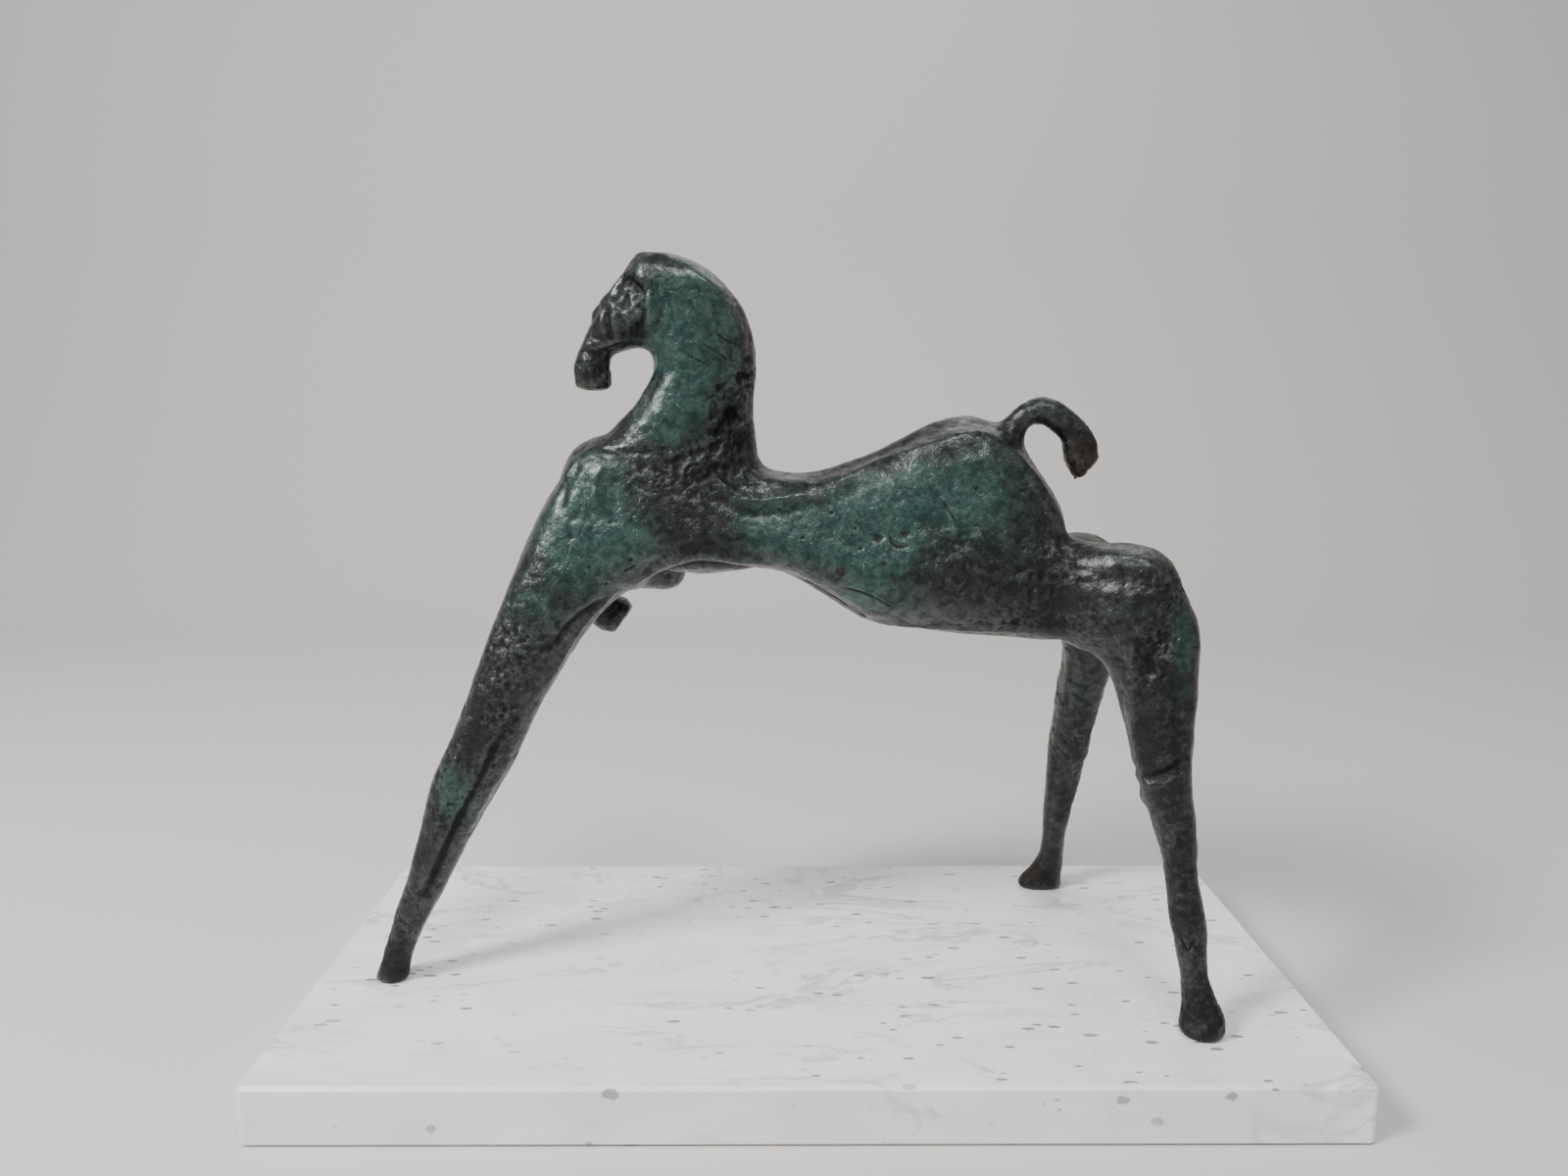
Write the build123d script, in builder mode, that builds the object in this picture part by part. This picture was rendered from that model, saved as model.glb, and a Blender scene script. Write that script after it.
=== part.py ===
from build123d import *
import os

# Bronze horse on a white marble slab.
#
# The horse is a lost-wax bronze cast in sections: a hollow torso and neck, and a solid head, tail and legs.
# The sections are located by dowels and welded. Plugs fill the holes left by the core pins, and a plate
# closes the core vent under the belly. Three feet stand on the slab, each held by a stud that passes through
# the slab to a washer and a nut in a counterbore. Felt covers the underside.
#
# Millimetres. The origin is the centre of the felt's underside. +Z is up, +X runs from the head to the tail,
# and the horse's left side faces -Y.

# Slab and felt.
SLAB_LENGTH = 370.0
SLAB_DEPTH = 180.0
SLAB_THICKNESS = 20.0
SLAB_CORNER_RADIUS = 2.5
SLAB_ARRIS = 1.2
FELT_THICKNESS = 1.0
FELT_INSET = 3.0
SLAB_BOTTOM = FELT_THICKNESS
SLAB_TOP = SLAB_BOTTOM + SLAB_THICKNESS

# M5 fixings of the feet.
FOOT_CENTRES = {"standing_forefoot": (-156, -18), "left_hind_foot": (137, -57), "right_hind_foot": (111, 66)}
STUD_RADIUS = 2.5
STUD_CHAMFER = 0.5
STUD_DEPTH_IN_FOOT = 8.0
STUD_BELOW_NUT = 1.0
STUD_CLEARANCE = 0.5
COUNTERBORE_RADIUS = 9.0
COUNTERBORE_DEPTH = 9.0
WASHER_RADIUS = 7.5
WASHER_HOLE_RADIUS = 2.65
WASHER_THICKNESS = 1.2
NUT_ACROSS_FLATS = 8.0
NUT_HEIGHT = 4.7

# Bronze.
WALL = 4.5
DOWEL_RADIUS = 2.0
DOWEL_CHAMFER = 0.4
DOWEL_END_GAP = 0.5
PLUG_RADIUS = 1.7
VENT_LENGTH = 26.0
VENT_WIDTH = 12.0
VENT_X = 12.0

# Joint planes between the cast sections.
NECK_JOINT_Z = 222.0
NECK_JOINT_REAR_X = -8.0
HIND_JOINT_X = 94.0
HEAD_JOINT = Plane(origin=(-60, 0, 267), x_dir=(0, 1, 0), z_dir=(-49, 0, 6))

# Cross-sections of the sculpted forms. Each plane holds the Y direction. A station gives the section's upper
# and lower edge points (x, z), the y of its middle, its half width, and its lean: 0 is an even oval, 1 is
# narrow near the first edge point and wide near the second.
SHOULDER = ((-89, 211), (-65, 169), -1, 21, 0.6)
TORSO = [
    ((HIND_JOINT_X, 201), (HIND_JOINT_X, 149), 0, 24, 0.6),
    ((86, 214), (85, 149.5), 0, 25.5, 0.8),
    ((77, 225), (75, 150.5), 0, 25, 1),
    ((66, 231), (62, 151.5), 0, 25, 1),
    ((50, 230), (47, 153.5), 0, 24, 1),
    ((32, 221.5), (31, 155.5), 0, 22, 1),
    ((16, 215.5), (18, 161), 0, 20, 1),
    ((2, 211.5), (5, 169.5), 0, 18.5, 1),
    ((-12, 213), (-11, 176), 0, 18.5, 1),
    ((-30, 219), (-28, 175.5), 0, 20, 1),
    ((-52, 225), (-44, 175), 0, 22, 0.8),
    ((-74, 226), (-56, 174), 0, 22.5, 0.7),
    SHOULDER,
]
STANDING_FORELEG = [
    SHOULDER,
    ((-100, 192), (-72, 163), -4, 19, 0.4),
    ((-109, 171), (-78, 157), -7.5, 16.5, 0.2),
    ((-117, 151), (-87, 144.5), -9.5, 14.5, 0),
    ((-124.5, 131), (-99.5, 123.5), -11, 12.5, 0),
    ((-131, 115), (-107, 107), -12.5, 11, 0),
    ((-141, 91), (-120, 86), -14, 9.5, 0),
    ((-147.5, 67), (-132, 63.5), -15.5, 7.8, 0),
    ((-155, 45), (-143, 43), -17, 6, 0),
    ((-160, 29), (-149.5, 28), -18, 5.4, 0),
    ((-163.5, SLAB_TOP), (-150.5, SLAB_TOP), -18, 5.5, 0),
]
NECK = [
    ((-22, 199), (-72, 201), 0, 14, 0.5),
    ((-18.5, 209), (-76, 210), 0, 15.5, 0.5),
    ((-16.5, 220), (-75.5, 220.5), 0, 16.5, 0.5),
    ((-18, 232), (-68, 230), 0, 15.5, 0.5),
    ((-18, 243), (-59, 240.5), 0, 14, 0.5),
    ((-18, 252), (-55, 250), 0, 13, 0.5),
    ((-19, 261), (-57, 260), 0, 12.5, 0.4),
    ((-22, 270), (-61, 270), 0, 12, 0.2),
    ((-28, 279), (-64, 279), 0, 11, 0),
    ((-37, 286), (-64, 286), 0, 8.5, 0),
    ((-48, 291), (-60, 291), 0, 4, 0),
]
HEAD = [
    ((-50, 287), (-50, 260), 0, 10, 0),
    ((-62, 289), (-57, 257), 0, 10.5, 0),
    ((-70, 278), (-63, 256), 0, 9.5, 0),
    ((-76, 268), (-68, 255), 0, 8, 0),
    ((-79.5, 261), (-70, 254), 0, 6.5, 0),
    ((-83, 253), (-70.5, 251), 0, 6, 0),
    ((-84, 247), (-70, 246.5), 0, 6, 0),
    ((-84, 242), (-71, 242), 0, 5.5, 0),
]
TAIL = [
    ((70, 229), (80, 217), 0, 5.5, 0),
    ((75, 234), (81.5, 223), 0, 5, 0),
    ((80, 237.5), (83, 229.5), 0, 4.3, 0),
    ((87, 239.5), (86, 229.5), 0, 4.3, 0),
    ((95, 237), (91, 227), 0, 4.5, 0),
    ((102, 232), (94.5, 223.5), 0, 4.5, 0),
    ((107.5, 224), (95, 219.5), 0, 5, 0),
    ((108.5, 218), (97, 214), 0, 4.8, 0),
    ((104, 211), (99.5, 210.5), 0, 3, 0),
]
LEFT_HOCK = ((135.5, 169), (109.5, 135), -31, 13, 0)
LEFT_THIGH = [
    ((80, 184), (80, 160), -9, 11, 0),
    ((HIND_JOINT_X, 189), (HIND_JOINT_X, 152), -16, 14, 0),
    ((103, 189), (100, 149), -21, 15, 0),
    ((112, 189), (105, 147), -26, 14, 0),
    ((122, 187.5), (107, 143), -29, 13.5, 0),
    ((130, 180.5), (108.5, 139), -30, 13, 0),
    LEFT_HOCK,
]
LEFT_SHANK = [
    LEFT_HOCK,
    ((138, 155), (112, 129), -33, 12.5, 0),
    ((137, 138), (114, 122), -35, 12, 0),
    ((135.5, 120), (115.5, 113), -38, 11, 0),
    ((135, 104), (118.5, 102), -41, 9.5, 0),
    ((137, 86), (123.5, 85), -45, 7.5, 0),
    ((138.5, 66), (127, 66), -49, 6, 0),
    ((140, 46), (130, 46), -53, 5.2, 0),
    ((142, 35), (131.5, 35), -55, 6, 0),
    ((145.5, 27), (131, 27), -57, 8, 0),
    ((144.5, SLAB_TOP), (130, SLAB_TOP), -57, 8, 0),
]
RIGHT_HOCK = ((133, 163), (107, 132), 36, 12.5, 0)
RIGHT_THIGH = [
    ((80, 184), (80, 160), 9, 11, 0),
    ((HIND_JOINT_X, 188), (HIND_JOINT_X, 152), 16, 14, 0),
    ((103, 187), (100, 149), 21, 14.5, 0),
    ((112, 186), (104, 147), 26, 14, 0),
    ((121, 183), (105, 142), 30, 13.5, 0),
    ((129, 175), (106, 137), 33, 13, 0),
    RIGHT_HOCK,
]
RIGHT_SHANK = [
    RIGHT_HOCK,
    ((133, 148), (108, 126), 40, 12, 0),
    ((130, 130), (108, 118), 44, 11, 0),
    ((126, 110), (107.5, 106), 48, 9.5, 0),
    ((123, 90), (106.5, 89), 53, 8.5, 0),
    ((121, 70), (107, 70), 57, 7, 0),
    ((118, 52), (107, 52), 61, 5.5, 0),
    ((118, 38), (106, 36), 64, 5.3, 0),
    ((118, 28), (100.5, 27), 66, 6.5, 0),
    ((118.5, SLAB_TOP), (97.5, SLAB_TOP), 67, 7, 0),
]
RAISED_FOREARM = [
    ((-44, 186), (-45, 171), 15, 6, 0),
    ((-55, 187), (-55, 164), 19, 12, 0),
    ((-70, 187), (-70, 165), 24, 11, 0),
    ((-85, 184), (-85, 164), 28, 9.5, 0),
    ((-97, 182), (-97, 165), 30, 8.5, 0),
    ((-105, 179), (-105, 167), 31, 6.5, 0),
]
RAISED_CANNON = [
    ((-95.3, 177.2), (-104.7, 166.8), 31, 7, 0),
    ((-89.5, 167.9), (-96.5, 160.1), 31, 5, 0),
    ((-82.8, 161.6), (-89.2, 154.4), 30, 4.6, 0),
    ((-76, 161), (-85, 150), 29.5, 6, 0),
    ((-70, 160), (-80, 146.5), 29, 7.5, 0),
    ((-67.5, 156), (-75, 146), 29, 7, 0),
]

# The core: the torso's stations between these two, made smaller by the wall, and a taper up the neck.
CORE_STATIONS = TORSO[2:11]
NECK_CORE = [
    ((-28, 200), (-52, 200), 0, 10, 0),
    ((-30, 222), (-56, 222), 0, 10.5, 0),
    ((-29, 242), (-47, 242), 0, 8, 0),
    ((-31, 262), (-47, 262), 0, 6, 0),
]

# Dowels across the joints: middle, direction, length.
DOWELS = {
    "neck_front_dowel": ((-65, 0, NECK_JOINT_Z), (0, 0, 1), 14),
    "neck_rear_dowel": ((-22.5, 0, NECK_JOINT_Z), (0, 0, 1), 14),
    "head_dowel": ((-60, 0, 268), (-49, 0, 6), 14),
    "tail_dowel": ((76.5, 0, 226.5), (2, 0, 3), 12),
    "standing_foreleg_dowel": ((-77, -1, 190), (-42, 0, -24), 18),
    "raised_foreleg_dowel": ((-68, 16.5, 174), (0, 1, 0), 16),
    "left_hind_dowel": ((HIND_JOINT_X, -17, 170), (1, 0, 0), 18),
    "right_hind_dowel": ((HIND_JOINT_X, 17, 170), (1, 0, 0), 18),
}

# Core pins (x, z, side): -1 is the left flank, 1 the right.
CORE_PINS = [(40, 173, -1), (70, 172, -1), (12.5, 178, -1), (-36, 205, -1), (52, 205, 1), (-20, 195, 1)]

CENTRED = (Align.CENTER, Align.CENTER, Align.CENTER)
FROM_BOTTOM = (Align.CENTER, Align.CENTER, Align.MIN)


def section(station, inset=0.0):
    """Returns one cross-section, a closed smooth outline made smaller all round by inset."""
    (ax, az), (bx, bz), y, half_width, lean = station
    first_edge = Vector(ax, y, az)
    second_edge = Vector(bx, y, bz)
    along = (first_edge - second_edge).normalized()
    u = half_width - inset
    v = (first_edge - second_edge).length / 2 - inset
    right = [
        ((0.74 - 0.18 * lean) * u, (0.72 + 0.08 * lean) * v),
        ((1 - 0.12 * lean) * u, 0.08 * lean * v),
        ((0.74 + 0.24 * lean) * u, (-0.72 + 0.08 * lean) * v),
    ]
    left = [(-x, y) for x, y in reversed(right)]
    outline = [(0, v)] + right + [(0, -v)] + left
    middle = (first_edge + second_edge) / 2
    with BuildSketch(Plane(origin=middle, x_dir=(0, 1, 0), z_dir=Vector(0, 1, 0).cross(along))) as sketch:
        with BuildLine():
            add(Edge.make_spline(outline, periodic=True, parameters=range(9)))
        make_face()
    return sketch.sketch


def form(stations, inset=0.0):
    """Returns the solid that runs smoothly through the stations."""
    with BuildPart() as solid:
        for station in stations:
            add(section(station, inset))
        loft()
    return solid.part


def rod(middle, direction, length, radius, chamfer_size=0.0):
    """Returns a round rod, centred on middle."""
    with BuildPart(Plane(origin=middle, z_dir=direction)) as solid:
        Cylinder(radius, length, align=CENTRED)
        if chamfer_size:
            chamfer(solid.edges().filter_by(GeomType.CIRCLE), chamfer_size)
    return solid.part


def finish(node, name):
    """Names a node and writes it."""
    node.part.label = name
    export_step(node.part, f"parts/{name}.step")


os.makedirs("parts", exist_ok=True)

# Tools for the holes: dowel holes, stud holes, core pin holes, the core and its vent.
with BuildPart() as dowel_holes:
    for middle, direction, length in DOWELS.values():
        add(rod(middle, direction, length + 2 * DOWEL_END_GAP, DOWEL_RADIUS))

with BuildPart() as stud_holes:
    with Locations([(x, y, SLAB_TOP) for x, y in FOOT_CENTRES.values()]):
        Cylinder(STUD_RADIUS, 2 * STUD_DEPTH_IN_FOOT, align=CENTRED)

with BuildPart() as core:
    add(form(CORE_STATIONS, WALL))
    add(form(NECK_CORE))

with BuildPart() as pin_holes:
    for x, z, side in CORE_PINS:
        add(rod((x, side * 20, z), (0, 1, 0), 32, PLUG_RADIUS))

with BuildPart() as vent:
    with BuildSketch(Plane.XY.offset(140)):
        with Locations((VENT_X, 0)):
            SlotOverall(VENT_LENGTH, VENT_WIDTH)
    extrude(amount=45)

# The trunk, neck and head as one form, before it is cut into sections.
with BuildPart() as body:
    add(form(TORSO))
    add(form(NECK))
    add(form(HEAD))

with BuildPart() as whole_torso:
    add(body.part)
    add(form(LEFT_THIGH))
    add(form(RIGHT_THIGH))
    with Locations((NECK_JOINT_REAR_X, 0, NECK_JOINT_Z)):
        Box(150, 80, 100, align=(Align.MAX, Align.CENTER, Align.MIN), mode=Mode.SUBTRACT)
    with Locations((HIND_JOINT_X, 0, 170)):
        Box(80, 140, 120, align=(Align.MIN, Align.CENTER, Align.CENTER), mode=Mode.SUBTRACT)
    add(dowel_holes.part, mode=Mode.SUBTRACT)

with BuildPart() as torso_casting:
    add(whole_torso.part)
    add(core.part, mode=Mode.SUBTRACT)
    add(pin_holes.part, mode=Mode.SUBTRACT)
    add(vent.part, mode=Mode.SUBTRACT)
finish(torso_casting, "torso_casting")

with BuildPart() as core_vent_plate:
    add(whole_torso.part)
    add(core.part, mode=Mode.SUBTRACT)
    add(vent.part, mode=Mode.INTERSECT)
finish(core_vent_plate, "core_vent_plate")

for number, (x, z, side) in enumerate(CORE_PINS, start=1):
    with BuildPart() as core_pin_plug:
        add(whole_torso.part)
        add(core.part, mode=Mode.SUBTRACT)
        add(rod((x, side * 20, z), (0, 1, 0), 32, PLUG_RADIUS), mode=Mode.INTERSECT)
    finish(core_pin_plug, f"core_pin_plug_{number}")

# Neck and head.
with BuildPart() as neck_casting:
    add(body.part)
    with Locations((NECK_JOINT_REAR_X, 0, NECK_JOINT_Z)):
        Box(150, 80, 100, align=(Align.MAX, Align.CENTER, Align.MIN), mode=Mode.INTERSECT)
    with Locations(HEAD_JOINT):
        Box(60, 60, 60, align=FROM_BOTTOM, mode=Mode.SUBTRACT)
    add(core.part, mode=Mode.SUBTRACT)
    add(dowel_holes.part, mode=Mode.SUBTRACT)
finish(neck_casting, "neck_casting")

with BuildPart() as head_casting:
    add(body.part)
    with Locations(HEAD_JOINT):
        Box(60, 60, 60, align=FROM_BOTTOM, mode=Mode.INTERSECT)
    add(dowel_holes.part, mode=Mode.SUBTRACT)
finish(head_casting, "head_casting")

# Tail.
with BuildPart() as tail_casting:
    add(form(TAIL))
    add(form(TORSO), mode=Mode.SUBTRACT)
    add(dowel_holes.part, mode=Mode.SUBTRACT)
finish(tail_casting, "tail_casting")

# Forelegs.
with BuildPart() as standing_foreleg_casting:
    add(form(STANDING_FORELEG))
    add(dowel_holes.part, mode=Mode.SUBTRACT)
    add(stud_holes.part, mode=Mode.SUBTRACT)
finish(standing_foreleg_casting, "standing_foreleg_casting")

with BuildPart() as raised_foreleg_casting:
    add(form(RAISED_FOREARM))
    add(form(RAISED_CANNON))
    add(form(TORSO), mode=Mode.SUBTRACT)
    add(form(STANDING_FORELEG), mode=Mode.SUBTRACT)
    add(dowel_holes.part, mode=Mode.SUBTRACT)
finish(raised_foreleg_casting, "raised_foreleg_casting")

# Hind legs.
for name, thigh, shank in [
    ("left_hind_leg_casting", LEFT_THIGH, LEFT_SHANK),
    ("right_hind_leg_casting", RIGHT_THIGH, RIGHT_SHANK),
]:
    with BuildPart() as hind_leg_casting:
        add(form(thigh))
        add(form(shank))
        with Locations((HIND_JOINT_X, 0, 170)):
            Box(40, 140, 120, align=(Align.MAX, Align.CENTER, Align.CENTER), mode=Mode.SUBTRACT)
        add(dowel_holes.part, mode=Mode.SUBTRACT)
        add(stud_holes.part, mode=Mode.SUBTRACT)
    finish(hind_leg_casting, name)

# Dowels.
for name, (middle, direction, length) in DOWELS.items():
    with BuildPart() as dowel:
        add(rod(middle, direction, length, DOWEL_RADIUS, DOWEL_CHAMFER))
    finish(dowel, name)

# Marble slab, with a stud hole and a counterbore under each foot.
with BuildPart() as marble_slab:
    with BuildSketch(Plane.XY.offset(SLAB_BOTTOM)):
        RectangleRounded(SLAB_LENGTH, SLAB_DEPTH, SLAB_CORNER_RADIUS)
    extrude(amount=SLAB_THICKNESS)
    chamfer(marble_slab.faces().sort_by(Axis.Z)[-1].edges(), SLAB_ARRIS)
    with Locations([(x, y, SLAB_BOTTOM) for x, y in FOOT_CENTRES.values()]):
        Cylinder(COUNTERBORE_RADIUS, COUNTERBORE_DEPTH, align=FROM_BOTTOM, mode=Mode.SUBTRACT)
        Cylinder(STUD_RADIUS + STUD_CLEARANCE, SLAB_THICKNESS, align=FROM_BOTTOM, mode=Mode.SUBTRACT)
finish(marble_slab, "marble_slab")

# Felt.
with BuildPart() as felt_pad:
    with BuildSketch():
        RectangleRounded(SLAB_LENGTH - 2 * FELT_INSET, SLAB_DEPTH - 2 * FELT_INSET, SLAB_CORNER_RADIUS)
    extrude(amount=FELT_THICKNESS)
finish(felt_pad, "felt_pad")

# A stud, a washer and a nut under each foot.
seat = SLAB_BOTTOM + COUNTERBORE_DEPTH
nut_top = seat - WASHER_THICKNESS
stud_bottom = nut_top - NUT_HEIGHT - STUD_BELOW_NUT
stud_top = SLAB_TOP + STUD_DEPTH_IN_FOOT
for foot, (x, y) in FOOT_CENTRES.items():
    with BuildPart() as stud:
        middle = (x, y, (stud_bottom + stud_top) / 2)
        add(rod(middle, (0, 0, 1), stud_top - stud_bottom, STUD_RADIUS, STUD_CHAMFER))
    finish(stud, f"{foot}_stud")

    with BuildPart() as washer:
        with BuildSketch(Plane.XY.offset(nut_top)):
            with Locations((x, y)):
                Circle(WASHER_RADIUS)
                Circle(WASHER_HOLE_RADIUS, mode=Mode.SUBTRACT)
        extrude(amount=WASHER_THICKNESS)
    finish(washer, f"{foot}_washer")

    with BuildPart() as nut:
        with BuildSketch(Plane.XY.offset(nut_top - NUT_HEIGHT)):
            with Locations((x, y)):
                RegularPolygon(NUT_ACROSS_FLATS / 2, 6, major_radius=False)
                Circle(STUD_RADIUS, mode=Mode.SUBTRACT)
        extrude(amount=NUT_HEIGHT)
    finish(nut, f"{foot}_nut")
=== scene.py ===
"""A cast bronze horse on a white marble slab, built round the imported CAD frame."""

import math

import bmesh
import bpy
import numpy as np
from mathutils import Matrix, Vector
from mathutils.bvhtree import BVHTree


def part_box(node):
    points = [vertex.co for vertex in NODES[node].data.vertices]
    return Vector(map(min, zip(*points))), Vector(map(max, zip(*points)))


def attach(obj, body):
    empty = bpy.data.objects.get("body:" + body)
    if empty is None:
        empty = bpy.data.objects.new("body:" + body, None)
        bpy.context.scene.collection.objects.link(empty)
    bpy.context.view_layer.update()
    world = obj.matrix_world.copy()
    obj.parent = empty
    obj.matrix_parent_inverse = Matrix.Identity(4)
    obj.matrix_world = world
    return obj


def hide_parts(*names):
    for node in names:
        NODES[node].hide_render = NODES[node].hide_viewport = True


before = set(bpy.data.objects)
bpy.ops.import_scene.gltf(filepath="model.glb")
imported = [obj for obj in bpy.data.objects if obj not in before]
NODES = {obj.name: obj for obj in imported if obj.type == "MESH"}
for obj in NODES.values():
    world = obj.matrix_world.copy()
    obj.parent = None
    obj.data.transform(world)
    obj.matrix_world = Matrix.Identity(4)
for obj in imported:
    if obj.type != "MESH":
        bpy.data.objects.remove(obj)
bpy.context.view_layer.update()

bl_info = {
    "name": "Bronze horse on marble",
    "version": (1, 0, 0),
    "blender": (4, 5, 0),
    "location": "View3D > Sidebar > Bronze horse",
    "description": "Builds the castings, the slab and the stage of a bronze horse statuette",
    "category": "Add Mesh",
}

MM = 0.001
CASTINGS = [
    "torso_casting",
    "neck_casting",
    "head_casting",
    "tail_casting",
    "standing_foreleg_casting",
    "raised_foreleg_casting",
    "left_hind_leg_casting",
    "right_hind_leg_casting",
]
PLUGS = sorted(n for n in NODES if n.startswith("core_pin_plug"))
SLAB_TOP_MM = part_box("marble_slab")[1][2] / MM


# ---------------------------------------------------------------- sculpting

# Places on a casting are shares of its own box: how far from its front to its back, and how far up.
# Chased lines: casting, kind, sides, height and width in millimetres, places. A smooth curve runs through the
# places and is dropped onto the bronze from the left ("L"), the right ("R") or both ("B").
LINES = [
    # back, rump and belly
    ("torso", "ridge", "B", 1.6, 1.8, [(0.29, 0.80), (0.37, 0.65), (0.50, 0.67)]),
    ("torso", "ridge", "B", 1.0, 2.4, [(0.50, 0.67), (0.65, 0.82), (0.82, 0.93), (0.88, 0.89)]),
    ("torso", "ridge", "B", 0.9, 2.6, [(0.88, 0.89), (0.94, 0.68), (0.99, 0.48)]),
    ("torso", "ridge", "B", 1.4, 1.7, [(0.15, 0.28), (0.27, 0.42), (0.42, 0.36)]),
    ("torso", "groove", "B", 1.1, 1.5, [(0.18, 0.30), (0.28, 0.38), (0.40, 0.33)]),
    ("torso", "ridge", "B", 1.0, 2.0, [(0.42, 0.36), (0.53, 0.20), (0.63, 0.10), (0.99, 0.08)]),
    # chest and the torn edge below the neck
    ("torso", "groove", "L", 0.7, 0.8, [(0.07, 0.87), (0.15, 0.85), (0.24, 0.87)]),
    ("torso", "groove", "L", 0.9, 1.1, [(0.20, 0.78), (0.26, 0.84), (0.33, 0.88)]),
    ("torso", "groove", "R", 1.8, 1.9, [(0.19, 0.77), (0.25, 0.82), (0.32, 0.88)]),
    ("torso", "groove", "B", 0.8, 1.8, [(0.05, 0.82), (0.02, 0.70), (0.01, 0.60)]),
    ("torso", "ridge", "L", 0.9, 2.6, [(0.10, 0.83), (0.08, 0.72), (0.08, 0.60)]),
    # neck
    ("neck", "ridge", "B", 1.3, 2.0, [(0.60, 0.93), (0.84, 0.70), (0.91, 0.30), (0.92, 0.06)]),
    ("neck", "ridge", "B", 0.9, 1.6, [(0.49, 0.46), (0.36, 0.21), (0.17, 0.05)]),
    # head
    ("head", "ridge", "B", 1.2, 1.2, [(0.57, 0.68), (0.62, 0.52), (0.62, 0.38)]),
    ("head", "groove", "B", 1.5, 1.1, [(0.48, 0.55), (0.53, 0.46), (0.58, 0.37)]),
    ("head", "groove", "B", 2.2, 1.5, [(0.60, 0.68), (0.76, 0.78), (0.95, 0.68)]),
    ("head", "groove", "B", 1.2, 1.4, [(0.97, 0.66), (1.00, 0.53), (0.87, 0.40)]),
    ("head", "ridge", "B", 0.8, 1.0, [(0.28, 0.31), (0.55, 0.33), (0.80, 0.36)]),
    ("head", "ridge", "B", 0.8, 1.3, [(0.24, 0.48), (0.36, 0.58), (0.50, 0.69)]),
    ("head", "groove", "B", 0.9, 1.1, [(0.10, 0.28), (0.28, 0.26), (0.45, 0.25)]),
    ("head", "ridge", "B", 0.8, 1.1, [(0.16, 0.26), (0.26, 0.15), (0.25, 0.05)]),
    # tail
    ("tail", "ridge", "B", 0.7, 1.6, [(0.22, 0.75), (0.50, 0.86), (0.78, 0.66), (0.90, 0.42)]),
    # standing foreleg
    ("standing_foreleg", "groove", "L", 1.8, 1.5, [(0.57, 0.54), (0.46, 0.43), (0.33, 0.30), (0.21, 0.17)]),
    ("standing_foreleg", "ridge", "L", 0.7, 1.6, [(0.61, 0.52), (0.51, 0.42), (0.38, 0.31)]),
    ("standing_foreleg", "groove", "L", 1.1, 1.2, [(0.94, 0.77), (0.83, 0.74), (0.73, 0.68)]),
    ("standing_foreleg", "ridge", "L", 1.0, 1.3, [(0.98, 0.79), (0.85, 0.72), (0.70, 0.60)]),
    ("standing_foreleg", "groove", "L", 0.9, 1.0, [(0.50, 0.68), (0.60, 0.69)]),
    ("standing_foreleg", "ridge", "B", 0.7, 1.8, [(0.49, 0.66), (0.36, 0.45), (0.22, 0.23)]),
    ("standing_foreleg", "groove", "R", 1.4, 1.6, [(0.63, 0.57), (0.44, 0.41), (0.26, 0.21)]),
    # left hind leg
    ("left_hind_leg", "ridge", "B", 0.9, 3.0, [(0.06, 0.97), (0.42, 0.97), (0.76, 0.87)]),
    ("left_hind_leg", "groove", "L", 0.5, 3.0, [(0.08, 0.93), (0.45, 0.93), (0.62, 0.89)]),
    ("left_hind_leg", "ridge", "L", 1.3, 2.0, [(0.06, 0.81), (0.32, 0.79), (0.42, 0.58), (0.70, 0.15)]),
    ("left_hind_leg", "groove", "L", 1.8, 1.5, [(0.42, 0.53), (0.55, 0.54), (0.68, 0.57)]),
    ("left_hind_leg", "ridge", "L", 1.0, 1.3, [(0.42, 0.51), (0.56, 0.52), (0.70, 0.54)]),
    ("left_hind_leg", "groove", "L", 0.5, 1.1, [(0.64, 0.84), (0.62, 0.72), (0.67, 0.49)]),
    # right hind leg
    ("right_hind_leg", "ridge", "R", 1.2, 2.0, [(0.10, 0.80), (0.35, 0.76), (0.38, 0.50), (0.40, 0.25)]),
    ("right_hind_leg", "groove", "R", 1.0, 1.6, [(0.45, 0.62), (0.60, 0.59), (0.75, 0.57)]),
]

# Scratches and file marks, cut once the surface is at its finest: casting, sides, depth, width, places.
SCRATCHES = [
    ("torso", "L", 0.45, 0.55, [(0.56, 0.28), (0.61, 0.25), (0.67, 0.18)]),
    ("torso", "L", 0.60, 0.60, [(0.65, 0.51), (0.66, 0.46), (0.69, 0.46)]),
    ("torso", "L", 0.30, 0.50, [(0.75, 0.66), (0.78, 0.56)]),
    ("torso", "L", 0.30, 0.50, [(0.13, 0.35), (0.16, 0.38)]),
    ("neck", "L", 0.25, 0.45, [(0.62, 0.47), (0.76, 0.40)]),
    ("neck", "L", 0.25, 0.45, [(0.68, 0.54), (0.84, 0.44)]),
    ("neck", "L", 0.25, 0.45, [(0.72, 0.61), (0.86, 0.52)]),
    ("left_hind_leg", "L", 0.55, 0.60, [(0.68, 0.21), (0.73, 0.18), (0.77, 0.21)]),
    ("torso", "R", 0.45, 0.55, [(0.59, 0.56), (0.68, 0.49)]),
    ("torso", "R", 0.40, 0.50, [(0.80, 0.35), (0.86, 0.27)]),
    ("torso", "R", 0.40, 0.50, [(0.05, 0.48), (0.11, 0.38)]),
    ("neck", "R", 0.30, 0.50, [(0.66, 0.50), (0.79, 0.42)]),
]

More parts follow.
